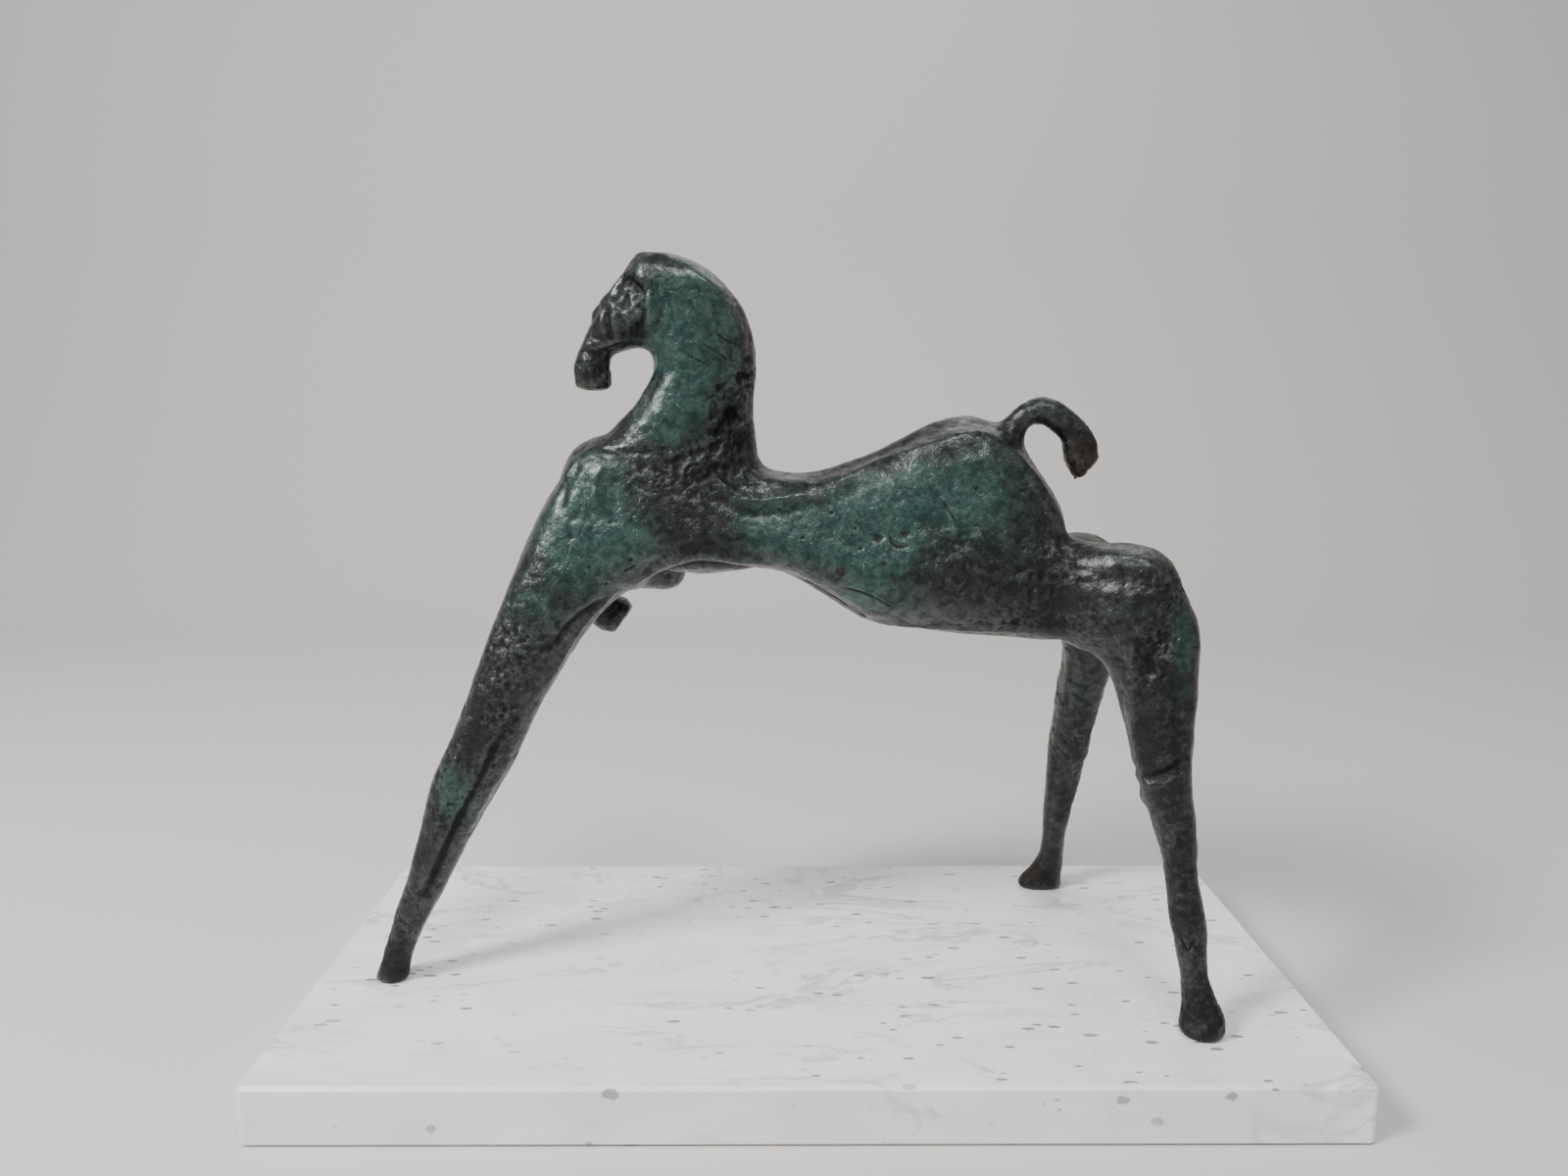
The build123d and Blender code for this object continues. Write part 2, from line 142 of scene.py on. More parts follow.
# Hollows and lumps pressed in by thumb and tool: casting, side, place, radius along, radius up, height.
SPOTS = [
    # head: cheek boss, eye socket, nostril and the rough hollows round them
    ("head", "B", 0.85, 0.53, 4.5, 5.5, 1.3), ("head", "B", 0.60, 0.67, 1.7, 1.7, -2.0),
    ("head", "B", 0.97, 0.68, 2.2, 2.4, -2.2), ("head", "B", 0.80, 0.78, 1.8, 1.4, -1.0),
    ("head", "B", 0.75, 0.61, 1.5, 2.0, -1.1), ("head", "B", 0.90, 0.39, 3.0, 2.0, -1.5),
    ("head", "B", 0.38, 0.16, 2.4, 4.0, -1.3), ("head", "B", 0.19, 0.10, 2.0, 2.2, -0.6),
    ("head", "B", 0.35, 0.40, 3.4, 4.0, -0.7),
    # neck and its torn rear edge
    ("neck", "L", 0.80, 0.30, 1.7, 1.5, -2.4), ("neck", "L", 0.92, 0.34, 1.6, 3.0, -1.4),
    ("neck", "L", 0.85, 0.09, 4.0, 5.0, -2.2), ("neck", "L", 0.78, 0.17, 2.5, 3.0, -1.0),
    ("neck", "L", 0.91, 0.02, 3.0, 3.0, -1.6), ("neck", "R", 0.83, 0.10, 4.0, 4.5, -1.8),
    # shoulder
    ("torso", "L", 0.30, 0.83, 2.6, 1.6, -0.9), ("torso", "L", 0.24, 0.80, 1.6, 1.4, -0.8),
    ("torso", "L", 0.06, 0.74, 1.2, 1.2, -0.6), ("torso", "L", 0.04, 0.58, 0.8, 0.8, -0.7),
    ("torso", "L", 0.03, 0.50, 1.0, 1.0, -0.7), ("torso", "R", 0.24, 0.79, 4.0, 2.5, -1.2),
    # flank pits
    ("torso", "L", 0.63, 0.49, 1.0, 1.0, -1.1), ("torso", "L", 0.68, 0.51, 1.2, 1.0, -1.1),
    ("torso", "L", 0.64, 0.39, 0.8, 0.6, -0.8), ("torso", "L", 0.82, 0.55, 1.4, 1.0, -0.9),
    ("torso", "L", 0.79, 0.47, 2.0, 1.6, -0.9), ("torso", "L", 0.74, 0.42, 1.4, 1.6, -0.7),
    ("torso", "L", 0.90, 0.36, 2.4, 1.2, -1.0), ("torso", "R", 0.60, 0.43, 1.4, 1.2, -0.9),
    ("torso", "R", 0.87, 0.49, 2.0, 1.4, -0.8), ("torso", "R", 0.16, 0.61, 1.2, 1.2, -0.7),
    # the cluster where the thigh meets the flank
    ("torso", "L", 0.98, 0.49, 1.0, 1.0, -1.0), ("torso", "L", 0.99, 0.44, 1.2, 1.2, -1.1),
    ("torso", "L", 0.97, 0.40, 1.6, 1.2, -1.0), ("torso", "L", 0.98, 0.14, 5.0, 1.8, -1.2),
    ("torso", "L", 0.90, 0.13, 3.0, 1.5, -0.9),
    # thighs and feet
    ("left_hind_leg", "L", 0.58, 0.92, 4.0, 3.0, -0.9), ("left_hind_leg", "L", 0.66, 0.90, 2.0, 3.0, -0.8),
    ("left_hind_leg", "L", 0.48, 0.81, 4.0, 4.0, -0.9), ("left_hind_leg", "L", 0.52, 0.73, 4.0, 5.0, -0.9),
    ("left_hind_leg", "L", 0.78, 0.05, 3.6, 3.6, -1.5), ("left_hind_leg", "L", 0.71, 0.02, 1.6, 1.8, 0.8),
    ("right_hind_leg", "R", 0.40, 0.89, 4.0, 4.0, -0.8),
    ("standing_foreleg", "L", 0.60, 0.71, 1.3, 1.3, -0.9),
    ("standing_foreleg", "L", 0.77, 0.73, 1.5, 2.2, -0.7),
    ("standing_foreleg", "L", 0.12, 0.03, 1.8, 2.4, -1.0),
]

# Where the surface is coarse, green, dark, or rubbed bright by wear and painted highlights, in millimetres:
# x, y, z, radii, strength.
COARSE = [
    (-27, -12, 228, 9, 9, 12, 1.0), (-27, 12, 228, 9, 9, 11, 0.9), (-40, -16, 215, 15, 8, 6, 1.0),
    (-40, 16, 215, 14, 8, 6, 0.8), (-22, -7, 243, 6, 7, 12, 0.7), (-62, -9, 271, 7, 8, 9, 0.8),
    (-62, 9, 271, 7, 8, 9, 0.7), (-50, -20, 190, 12, 9, 10, 0.55), (-104, -22, 153, 13, 12, 16, 0.9),
    (-114, -22, 128, 12, 12, 20, 0.9), (-128, -22, 100, 12, 12, 22, 0.6), (-152, -20, 40, 9, 9, 24, 0.6),
    (62, -22, 186, 18, 9, 15, 0.55), (88, -24, 180, 14, 9, 14, 0.9), (80, -20, 162, 24, 10, 7, 0.95),
    (104, -32, 160, 12, 12, 8, 0.8), (124, -38, 174, 8, 12, 8, 0.9), (118, -40, 152, 8, 12, 14, 0.95),
    (124, -46, 122, 8, 10, 22, 0.8), (130, -52, 80, 9, 10, 26, 0.6), (136, -58, 34, 11, 12, 14, 0.8),
    (114, 50, 100, 14, 16, 40, 0.6), (104, 4, 222, 8, 7, 12, 0.9), (92, 0, 233, 14, 6, 8, 0.5),
    (60, 24, 185, 26, 9, 16, 0.6), (-78, 30, 155, 14, 10, 10, 0.7), (90, 24, 165, 16, 12, 12, 0.8),
    (-100, 6, 150, 18, 10, 24, 0.6), (-76, 0, 246, 8, 8, 6, 0.5),
]
GREEN = [
    (-42, -12, 262, 18, 12, 26, 1.0), (-48, -12, 236, 14, 10, 14, 0.8), (-78, -18, 196, 17, 12, 24, 1.0),
    (-66, -20, 185, 14, 10, 14, 0.9), (-8, -16, 194, 20, 10, 13, 0.9), (22, -18, 192, 24, 12, 22, 1.0),
    (52, -16, 206, 24, 12, 18, 0.9), (24, -16, 170, 20, 10, 12, 0.9), (-130, -20, 96, 7, 10, 12, 0.6),
    (129, -40, 146, 5, 8, 26, 0.55), (76, -20, 190, 10, 8, 20, 0.25), (108, -32, 170, 14, 10, 10, 0.25),
    (-42, 12, 258, 18, 10, 24, 0.9), (-78, 16, 196, 17, 12, 24, 0.8), (10, 17, 192, 34, 10, 20, 0.9),
    (56, 18, 202, 22, 12, 18, 0.8), (30, 16, 168, 24, 10, 12, 0.7), (116, 40, 120, 8, 14, 24, 0.35),
    (-95, -18, 165, 12, 10, 14, 0.5),
]
DARK = [
    (-26, -12, 229, 9, 9, 13, 1.0), (-27, 12, 227, 8, 9, 10, 0.9), (-38, -17, 214, 18, 9, 6, 1.0),
    (-76, 0, 246, 7, 7, 7, 0.9), (-60, -10, 262, 6, 6, 5, 0.8), (-60, 10, 262, 6, 6, 5, 0.8),
    (104, 0, 219, 8, 8, 12, 1.0), (96, 0, 227, 8, 8, 5, 0.8), (90, -24, 174, 15, 10, 16, 0.95),
    (92, -22, 160, 20, 10, 6, 0.85), (121, -40, 172, 9, 12, 8, 0.5), (118, -42, 150, 7, 10, 12, 0.7),
    (124, -44, 124, 11, 12, 34, 0.9), (130, -52, 70, 9, 10, 30, 0.75), (138, -58, 30, 14, 14, 14, 1.0),
    (108, 66, 30, 14, 14, 14, 0.9), (118, 46, 100, 8, 14, 30, 0.7), (-118, -20, 122, 9, 10, 22, 0.55),
    (-154, -18, 30, 10, 10, 14, 0.9),
    (-138, -18, 74, 12, 10, 22, 0.6), (110, 54, 70, 14, 14, 30, 0.7), (-80, 28, 158, 14, 12, 12, 0.6),
    (60, -22, 184, 12, 9, 12, 0.35),
    (-46, -20, 190, 10, 8, 8, 0.45),
]
# Rubbed places, made paler and glossier: partly real wear, partly painted highlights.
RUBBED_AND_HIGHLIGHT = [
    (-33, -10, 275, 7, 7, 12, 1.0), (-36, -8, 284, 10, 7, 5, 0.8), (-73, -18, 212, 5, 8, 9, 1.0),
    (57, -12, 219, 12, 8, 8, 1.0), (112, -28, 184, 16, 10, 5, 1.0), (-14, -14, 204, 18, 5, 3, 0.9),
    (-36, 10, 277, 8, 7, 10, 0.9), (57, 12, 219, 12, 8, 8, 0.9), (112, 28, 182, 16, 10, 5, 0.9),
    (-73, 17, 210, 5, 8, 9, 0.8), (-60, -18, 216, 10, 8, 4, 0.5), (90, 0, 238, 10, 5, 4, 0.6),
    (-27, -9, 256, 5, 7, 10, 0.5), (62, 0, 231, 20, 8, 3, 0.6),
]

# Where the cast skin tore and was left ragged, and where red-brown oxide shows: x, y, z, radii, strength.
TORN = [
    (-26, -13, 228, 8, 9, 12, 1.0), (-38, -17, 214, 19, 9, 7, 1.0), (-22, -9, 244, 5, 7, 11, 0.9),
    (-26, 13, 228, 7, 9, 10, 0.9), (-42, 16, 215, 12, 8, 5, 0.8), (-61, -9, 269, 6, 7, 8, 0.6),
    (-61, 9, 269, 6, 7, 8, 0.6), (-76, 0, 247, 8, 8, 5, 0.5), (90, -25, 182, 8, 7, 7, 0.6),
    (120, -42, 152, 6, 9, 12, 0.6), (122, -42, 172, 7, 9, 6, 0.5), (103, 0, 216, 6, 6, 8, 0.6),
    (-106, -22, 148, 9, 9, 12, 0.5), (88, -20, 160, 12, 8, 5, 0.5), (139, -58, 28, 9, 9, 8, 0.5),
]
OXIDE = [(103, 0, 214, 8, 7, 7, 1.0), (12, -18, 177, 3, 5, 3, 0.9), (108, 66, 27, 9, 9, 6, 0.3)]

# Places that the joins between the castings are blended over: x, y, z, radius, strength.
BLENDS = [
    (-18, 0, 222, 16, 1.0), (-76, 0, 222, 14, 1.0), (-46, -17, 220, 18, 0.9), (-46, 17, 220, 18, 0.9),
    (92, -24, 176, 16, 1.0), (92, 24, 176, 16, 1.0), (92, 0, 190, 12, 0.9), (96, 0, 156, 16, 1.0),
    (108, -28, 140, 13, 0.9), (107, 32, 136, 13, 0.9), (136, -30, 168, 10, 0.6), (76, 0, 224, 9, 0.9),
    (-60, 20, 178, 16, 0.9), (-86, 20, 176, 13, 0.7), (-60, 0, 280, 10, 0.6), (-58, 0, 258, 8, 0.6),
    (-75, 0, 170, 12, 0.6),
]


class Form:
    """The bronze skin while it is being worked: points in millimetres, quads and edges."""

    def __init__(self, mesh):
        count = len(mesh.vertices)
        flat = np.empty(count * 3, np.float32)
        mesh.vertices.foreach_get("co", flat)
        self.points = flat.reshape(-1, 3).astype(np.float64) / MM
        loops = np.empty(len(mesh.loops), np.int32)
        mesh.loops.foreach_get("vertex_index", loops)
        self.faces = loops.reshape(-1, 4)
        edges = np.empty(len(mesh.edges) * 2, np.int32)
        mesh.edges.foreach_get("vertices", edges)
        self.edges = edges.reshape(-1, 2)
        self.valence = np.bincount(self.edges.ravel(), minlength=count).astype(float)

    def neighbours_mean(self, values):
        a, b = self.edges[:, 0], self.edges[:, 1]
        n = len(self.points)
        if values.ndim == 1:
            total = np.bincount(a, values[b], n) + np.bincount(b, values[a], n)
            return total / self.valence
        return np.stack([self.neighbours_mean(values[:, k]) for k in range(values.shape[1])], 1)

    def smoothed(self, values, rounds, share=0.5):
        for _ in range(rounds):
            values = values + (self.neighbours_mean(values) - values) * share
        return values

    def normals(self):
        p = self.points
        f = self.faces
        cross = np.cross(p[f[:, 2]] - p[f[:, 0]], p[f[:, 3]] - p[f[:, 1]])
        out = np.zeros_like(p)
        for corner in range(4):
            for axis in range(3):
                out[:, axis] += np.bincount(f[:, corner], cross[:, axis], len(p))
        return out / (np.linalg.norm(out, axis=1, keepdims=True) + 1e-12)

    def tree(self):
        return BVHTree.FromPolygons(self.points.tolist(), self.faces.tolist())

    def relax(self, weights, rounds):
        """Smooths the form where weights is high, without shrinking the whole."""
        for _ in range(rounds):
            step = self.neighbours_mean(self.points) - self.points
            self.points += step * weights[:, None] * 0.6

    def push(self, amounts):
        self.points += self.normals() * amounts[:, None]


def lattice(ix, iy, iz, seed):
    """Repeatable values from 0 to 1 at the corners of a grid."""
    h = (
        ix.astype(np.uint32) * np.uint32(374761393)
        + iy.astype(np.uint32) * np.uint32(668265263)
        + iz.astype(np.uint32) * np.uint32(2246822519)
        + np.uint32(seed * 3266489917 % 4294967296)
    )
    h = (h ^ (h >> np.uint32(13))) * np.uint32(1274126177)
    h = h ^ (h >> np.uint32(16))
    return (h & np.uint32(65535)).astype(np.float64) / 65535.0


def soft_noise(points, size, seed):
    """Smooth noise from -1 to 1 with features of about that size in millimetres."""
    q = points / size + 1000.0
    base = np.floor(q).astype(np.int64)
    t = q - base
    t = t * t * t * (t * (t * 6 - 15) + 10)
    total = np.zeros(len(points))
    for dx in (0, 1):
        for dy in (0, 1):
            for dz in (0, 1):
                weight = (
                    (t[:, 0] if dx else 1 - t[:, 0])
                    * (t[:, 1] if dy else 1 - t[:, 1])
                    * (t[:, 2] if dz else 1 - t[:, 2])
                )
                total += weight * lattice(base[:, 0] + dx, base[:, 1] + dy, base[:, 2] + dz, seed)
    return total * 2 - 1


def layered_noise(points, size, seed, layers=3):
    total = np.zeros(len(points))
    share = 1.0
    for layer in range(layers):
        total += share * soft_noise(points, size / 2**layer, seed + layer)
        share *= 0.5
    return total


def nearest_seed(points, size, seed):
    """Distance, in sizes, to the nearest of a scatter of seeds, and a value per seed."""
    q = points / size + 1000.0
    base = np.floor(q).astype(np.int64)
    best = np.full(len(points), 9.0)
    value = np.zeros(len(points))
    for dx in (-1, 0, 1):
        for dy in (-1, 0, 1):
            for dz in (-1, 0, 1):
                cx, cy, cz = base[:, 0] + dx, base[:, 1] + dy, base[:, 2] + dz
                sx = cx + lattice(cx, cy, cz, seed)
                sy = cy + lattice(cx, cy, cz, seed + 1)
                sz = cz + lattice(cx, cy, cz, seed + 2)
                d = (q[:, 0] - sx) ** 2 + (q[:, 1] - sy) ** 2 + (q[:, 2] - sz) ** 2
                closer = d < best
                best = np.where(closer, d, best)
                value = np.where(closer, lattice(cx, cy, cz, seed + 3), value)
    return np.sqrt(best), value


def field(points, places):
    """The strongest of several soft ellipsoids at each point, from 0 to 1."""
    total = np.zeros(len(points))
    for x, y, z, rx, ry, rz, strength in places:
        d = ((points - (x, y, z)) / (rx, ry, rz)) ** 2
        total = np.maximum(total, strength * np.exp(-d.sum(1) * 0.9))
    return np.clip(total, 0, 1)


def dropped(tree, side, x, z):
    """The point of the surface that (x, z) meets when it is seen square from a side."""
    start = Vector((x, -200.0 * side, z))
    hit = tree.ray_cast(start, Vector((0, side, 0)), 400.0)[0]
    if hit is None:
        hit = tree.find_nearest(Vector((x, 0, z)))[0]
    return np.array(hit)


def on_casting(name, along, up):
    """The x and z, in millimetres, of a place given as shares of a casting's box."""
    low, high = (np.array(corner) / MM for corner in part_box(f"{name}_casting"))
    return np.array([low[0] + (high[0] - low[0]) * along, low[2] + (high[2] - low[2]) * up])


def dropped_line(tree, side, name, places, spacing=1.2):
    """Surface points along a smooth curve through the places, close enough together to follow the form."""
    knots = [on_casting(name, *place_on) for place_on in places]
    knots = [2 * knots[0] - knots[1], *knots, 2 * knots[-1] - knots[-2]]
    line = []
    for before, start, end, after in zip(knots, knots[1:], knots[2:], knots[3:]):
        steps = max(1, round(np.linalg.norm(end - start) / spacing))
        for t in np.arange(steps) / steps:
            pull = (end - before) * t + (2 * before - 5 * start + 4 * end - after) * t**2
            pull += (3 * start - before - 3 * end + after) * t**3
            line.append(dropped(tree, side, *(start + 0.5 * pull)))
    line.append(dropped(tree, side, *knots[-2]))
    line = np.array(line)
    for _ in range(3):
        line[1:-1] = line[1:-1] * 0.5 + (line[:-2] + line[2:]) * 0.25
    return line


def distance_to_line(points, line, reach):
    """Indices of the points within reach of the line, their distance and how far along it they lie."""
    low = line.min(0) - reach
    high = line.max(0) + reach
    near = np.where(((points > low) & (points < high)).all(1))[0]
    p = points[near]
    best = np.full(len(p), 1e9)
    along = np.zeros(len(p))
    for k, (a, b) in enumerate(zip(line, line[1:])):
        ab = b - a
        t = np.clip(((p - a) @ ab) / (ab @ ab + 1e-9), 0, 1)
        d = np.linalg.norm(p - (a + t[:, None] * ab), axis=1)
        closer = d < best
        best = np.where(closer, d, best)
        along = np.where(closer, (k + t) / (len(line) - 1), along)
    keep = best < reach
    return near[keep], best[keep], along[keep]


def sides_of(letter):
    return {"L": (1,), "R": (-1,), "B": (1, -1)}[letter]


def chase_lines(form, lines):
    """Raises ridges and sinks grooves along the lines."""
    tree = form.tree()
    amounts = np.zeros(len(form.points))
    for name, kind, letter, height, width, places in lines:
        for side in sides_of(letter):
            line = dropped_line(tree, side, name, places)
            found, d, along = distance_to_line(form.points, line, width * 4)
            ends = np.clip(np.minimum(along, 1 - along) * 6, 0, 1)
            if kind == "ridge":
                profile = np.exp(-d / width) - 0.25 * np.exp(-(((d - width * 2.6) / width) ** 2))
            else:
                profile = -np.exp(-((d / width) ** 2)) + 0.18 * np.exp(-(((d - width * 2) / width) ** 2))
            amounts[found] += height * profile * ends
    form.push(amounts)


def press_spots(form, spots):
    """Presses hollows and raises lumps."""
    tree = form.tree()
    amounts = np.zeros(len(form.points))
    for name, letter, along, up, rx, rz, height in spots:
        for side in sides_of(letter):
            centre = dropped(tree, side, *on_casting(name, along, up))
            p = form.points - centre
            d = (p[:, 0] / rx) ** 2 + (p[:, 2] / rz) ** 2 + (p[:, 1] / (max(rx, rz) * 1.6)) ** 2
            amounts += height * np.exp(-d)
    form.push(amounts)


def joined_castings(names):
    """One throw-away mesh object of copies of the CAD nodes."""
    build = bmesh.new()
    for name in names:
        build.from_mesh(NODES[name].data)
    bmesh.ops.remove_doubles(build, verts=build.verts, dist=1e-6)
    mesh = bpy.data.meshes.new("castings_work")
    build.to_mesh(mesh)
    build.free()
    work = bpy.data.objects.new("castings_work", mesh)
    bpy.context.scene.collection.objects.link(work)
    return work


def applied(work, kind, **settings):
    """The object's mesh with one modifier applied."""
    modifier = work.modifiers.new("step", kind)
    for key, value in settings.items():
        setattr(modifier, key, value)
    graph = bpy.context.evaluated_depsgraph_get()
    graph.update()
    mesh = bpy.data.meshes.new_from_object(work.evaluated_get(graph))
    work.modifiers.clear()
    old = work.data
    work.data = mesh
    bpy.data.meshes.remove(old)
    return mesh


def write_mesh(mesh, form):
    mesh.vertices.foreach_set("co", (form.points * MM).astype(np.float32).ravel())
    mesh.update()


def outer_shell(mesh):
    """Removes everything but the largest connected piece."""
    build = bmesh.new()
    build.from_mesh(mesh)
    build.verts.ensure_lookup_table()
    seen = np.zeros(len(build.verts), bool)
    groups = []
    for start in build.verts:
        if seen[start.index]:
            continue
        seen[start.index] = True
        stack = [start]
        group = [start]
        while stack:
            vert = stack.pop()
            for edge in vert.link_edges:
                other = edge.other_vert(vert)
                if not seen[other.index]:
                    seen[other.index] = True
                    stack.append(other)
                    group.append(other)
        groups.append(group)
    groups.sort(key=len, reverse=True)
    loose = [v for group in groups[1:] for v in group]
    bmesh.ops.delete(build, geom=loose, context="VERTS")
    build.to_mesh(mesh)
    build.free()


def blend_weights(points):
    weights = np.zeros(len(points))
    for x, y, z, radius, strength in BLENDS:
        d = ((points - (x, y, z)) ** 2).sum(1) / radius**2
        weights = np.maximum(weights, strength * np.exp(-d))
    return weights


def sculpted_form(sizes):
    """The whole horse as one worked skin."""
    work = joined_castings(CASTINGS + ["core_vent_plate"] + PLUGS)
    mesh = applied(work, "REMESH", mode="VOXEL", voxel_size=sizes.block_in * MM, use_smooth_shade=True)
    outer_shell(mesh)
    form = Form(mesh)
    form.relax(np.full(len(form.points), 0.5), 4)
    form.relax(blend_weights(form.points), 60)
    chase_lines(form, LINES)
    press_spots(form, SPOTS)
    form.relax(np.full(len(form.points), 0.35), 1)
    write_mesh(mesh, form)
    mesh = applied(work, "SUBSURF", levels=1, render_levels=1)
    form = Form(mesh)
    coarse = field(form.points, COARSE)
    coarse_edge = 0.75 + 0.5 * soft_noise(form.points, 6, 11)
    coarse = np.clip(coarse * coarse_edge, 0, 1)
    waves = 0.35 * soft_noise(form.points, 17, 21) + 0.22 * soft_noise(form.points, 8, 22)
    dabs = 0.13 * layered_noise(form.points, 3.6, 31, 2)
    crust = np.abs(layered_noise(form.points, 4.2, 41, 3))
    lumps = 0.9 * (0.35 - crust) * coarse
    distance, pick = nearest_seed(form.points, 3.4, 51)
    pits = -np.clip(1 - distance / 0.42, 0, 1) * (pick > 0.45) * np.clip(coarse - 0.25, 0, 1) * 1.5
    few, chosen = nearest_seed(form.points, 7.5, 61)
    specks = -np.clip(1 - few / 0.13, 0, 1) * (chosen > 0.62) * 0.7
    fine = 0.05 * soft_noise(form.points, 1.4, 71) * (1 + 2 * coarse)
    foot = np.clip((form.points[:, 2] - SLAB_TOP_MM - 0.4) / 2.0, 0, 1)
    torn = np.clip(field(form.points, TORN) * (0.9 + 0.5 * soft_noise(form.points, 5, 111)), 0, 1)
    flakes = np.abs(layered_noise(form.points, 6.5, 121, 3))
    crags = 3.0 * (0.30 - flakes) * torn - 1.5 * np.clip(0.09 - flakes, 0, 1) / 0.09 * torn
    form.push((waves + dabs + lumps + crags + pits + specks + fine) * sizes.relief * foot)
    tree = form.tree()
    amounts = np.zeros(len(form.points))
    for name, letter, depth, width, places in SCRATCHES:
        for side in sides_of(letter):
            line = dropped_line(tree, side, name, places, 0.6)
            found, d, along = distance_to_line(form.points, line, width * 4)
            ends = np.clip(np.minimum(along, 1 - along) * 5, 0, 1)
            lip = 0.35 * np.exp(-(((d - width * 1.8) / width) ** 2))
            amounts[found] += depth * (lip - np.exp(-((d / width) ** 2))) * ends
    form.push(amounts)
    form.points[:, 2] = np.maximum(form.points[:, 2], SLAB_TOP_MM)
    write_mesh(mesh, form)
    return work, form, coarse


def surface_masks(form, coarse):
    """Per-point masks for the patina, the wear and the painted highlights."""
    p = form.points
    n = form.normals()
    close = ((form.smoothed(p, 6) - p) * n).sum(1)
    wide = ((form.smoothed(p, 40) - p) * n).sum(1)
    hollow = np.clip(close / 0.22 + wide / 1.1, -1, 1)
    patchy = layered_noise(p, 16, 81, 3)
    green = np.clip(field(p, GREEN) * (1.15 + 0.45 * patchy), 0, 1)
    dark = np.clip(field(p, DARK) * (1.1 + 0.5 * layered_noise(p, 9, 91, 3)), 0, 1)
    # rubbed wear together with painted highlights at the listed places
    rubbed = field(p, RUBBED_AND_HIGHLIGHT) * np.clip(0.75 + 0.7 * layered_noise(p, 5, 101, 2), 0, 1)
    oxide = np.clip(field(p, OXIDE) * (1.0 + 0.5 * layered_noise(p, 4, 131, 2)), 0, 1)
    return {
        "hollow": hollow,
        "coarse": coarse,
        "green": green,
        "dark": dark,
        "rubbed": np.clip(rubbed, 0, 1),
        "oxide": oxide,
    }


def casting_of_faces(form):
    """The CAD casting that each face of the skin lies on, in patches with clean edges."""
    centres = form.points[form.faces].mean(1)
    best = np.full(len(centres), 1e9)
    label = np.zeros(len(centres), np.int32)
    for index, name in enumerate(CASTINGS):
        low, high = (np.array(c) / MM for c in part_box(name))
        near = np.where(((centres > low - 6) & (centres < high + 6)).all(1))[0]
        tree = BVHTree.FromObject(NODES[name], bpy.context.evaluated_depsgraph_get())
        for k in near:
            hit = tree.find_nearest(Vector(centres[k] * MM), 0.012)
            if hit[3] is not None and hit[3] < best[k]:
                best[k] = hit[3]
                label[k] = index
    return label


def tidy_labels(form, label):
    """Lets each face follow most of its neighbours, then gives stray islands to the piece around them."""
    corners = np.sort(form.faces[:, [0, 1, 1, 2, 2, 3, 3, 0]].reshape(-1, 2), axis=1)
    owner = np.repeat(np.arange(len(form.faces)), 4)
    key = corners[:, 0].astype(np.int64) * len(form.points) + corners[:, 1]
    order = np.argsort(key, kind="stable")
    key, owner = key[order], owner[order]
    pairs = np.where(key[1:] == key[:-1])[0]
    a, b = owner[pairs], owner[pairs + 1]
    kinds = len(CASTINGS)
    for _ in range(12):
        votes = np.zeros((len(label), kinds))
        votes[np.arange(len(label)), label] += 1.1
        np.add.at(votes, (a, label[b]), 1)
        np.add.at(votes, (b, label[a]), 1)
        label = votes.argmax(1).astype(np.int32)
    island = np.arange(len(label))
    same = label[a] == label[b]
    sa, sb = a[same], b[same]
    while True:
        low = np.minimum(island[sa], island[sb])
        new = island.copy()
        np.minimum.at(new, sa, low)
        np.minimum.at(new, sb, low)
        new = new[new]
        if (new == island).all():
            break
        island = new
    for _ in range(6):
        ids, counts = np.unique(island, return_counts=True)
        biggest = {}
        for i, c in zip(ids, counts):
            kind = label[i]
            if c > biggest.get(kind, (0, 0))[0]:
                biggest[kind] = (c, i)
        main = np.isin(island, [i for _, i in biggest.values()])
        if main.all():
            break
        for x, y in ((a, b), (b, a)):
            take = ~main[x] & main[y]
            label[x[take]] = label[y[take]]
            island[x[take]] = island[y[take]]
    return label


def capped_piece(name, form, normals, masks, chosen):
    """A closed mesh object of the chosen faces of the skin, with its open edges filled."""
    faces = form.faces[chosen]
    used, flat = np.unique(faces, return_inverse=True)
    local = flat.reshape(-1, 4)
    edges = {}
    for quad in local.tolist():
        for k in range(4):
            edges[(quad[k], quad[(k + 1) % 4])] = True
    following = {}
    for a, b in edges:
        if (b, a) not in edges:
            following.setdefault(b, []).append(a)
    points = form.points[used].tolist()
    quads = local.tolist()
    caps = []
    while following:
        start = next(iter(following))
        loop = [start]
        here = start
        while True:
            nexts = following.get(here)
            if not nexts:
                break
            ahead = nexts.pop()
            if not nexts:
                del following[here]
            if ahead == start:
                break
            loop.append(ahead)
            here = ahead
        middle = len(points)
        points.append(np.mean([points[k] for k in loop], axis=0).tolist())
        for a, b in zip(loop, loop[1:] + loop[:1]):
            caps.append((a, b, middle))
    mesh = bpy.data.meshes.new(name)
    mesh.from_pydata((np.array(points) * MM).tolist(), [], quads + caps)
    mesh.update()
    mesh.polygons.foreach_set("use_smooth", [True] * len(quads) + [False] * len(caps))
    corner_normals = normals[used][local.ravel()].tolist()
    for cap in caps:
        a, b, c = (np.array(points[k]) for k in cap)
        direction = np.cross(b - a, c - a)
        direction /= np.linalg.norm(direction) + 1e-12
        corner_normals += [direction.tolist()] * 3
    mesh.normals_split_custom_set(corner_normals)
    extra = len(points) - len(used)
    for key, values in masks.items():
        layer = mesh.attributes.new(key, "FLOAT", "POINT")
        layer.data.foreach_set("value", np.concatenate([values[used], np.zeros(extra)]).astype(np.float32))
    piece = bpy.data.objects.new(name, mesh)
    bpy.context.scene.collection.objects.link(piece)
    return piece


# ---------------------------------------------------------------- materials


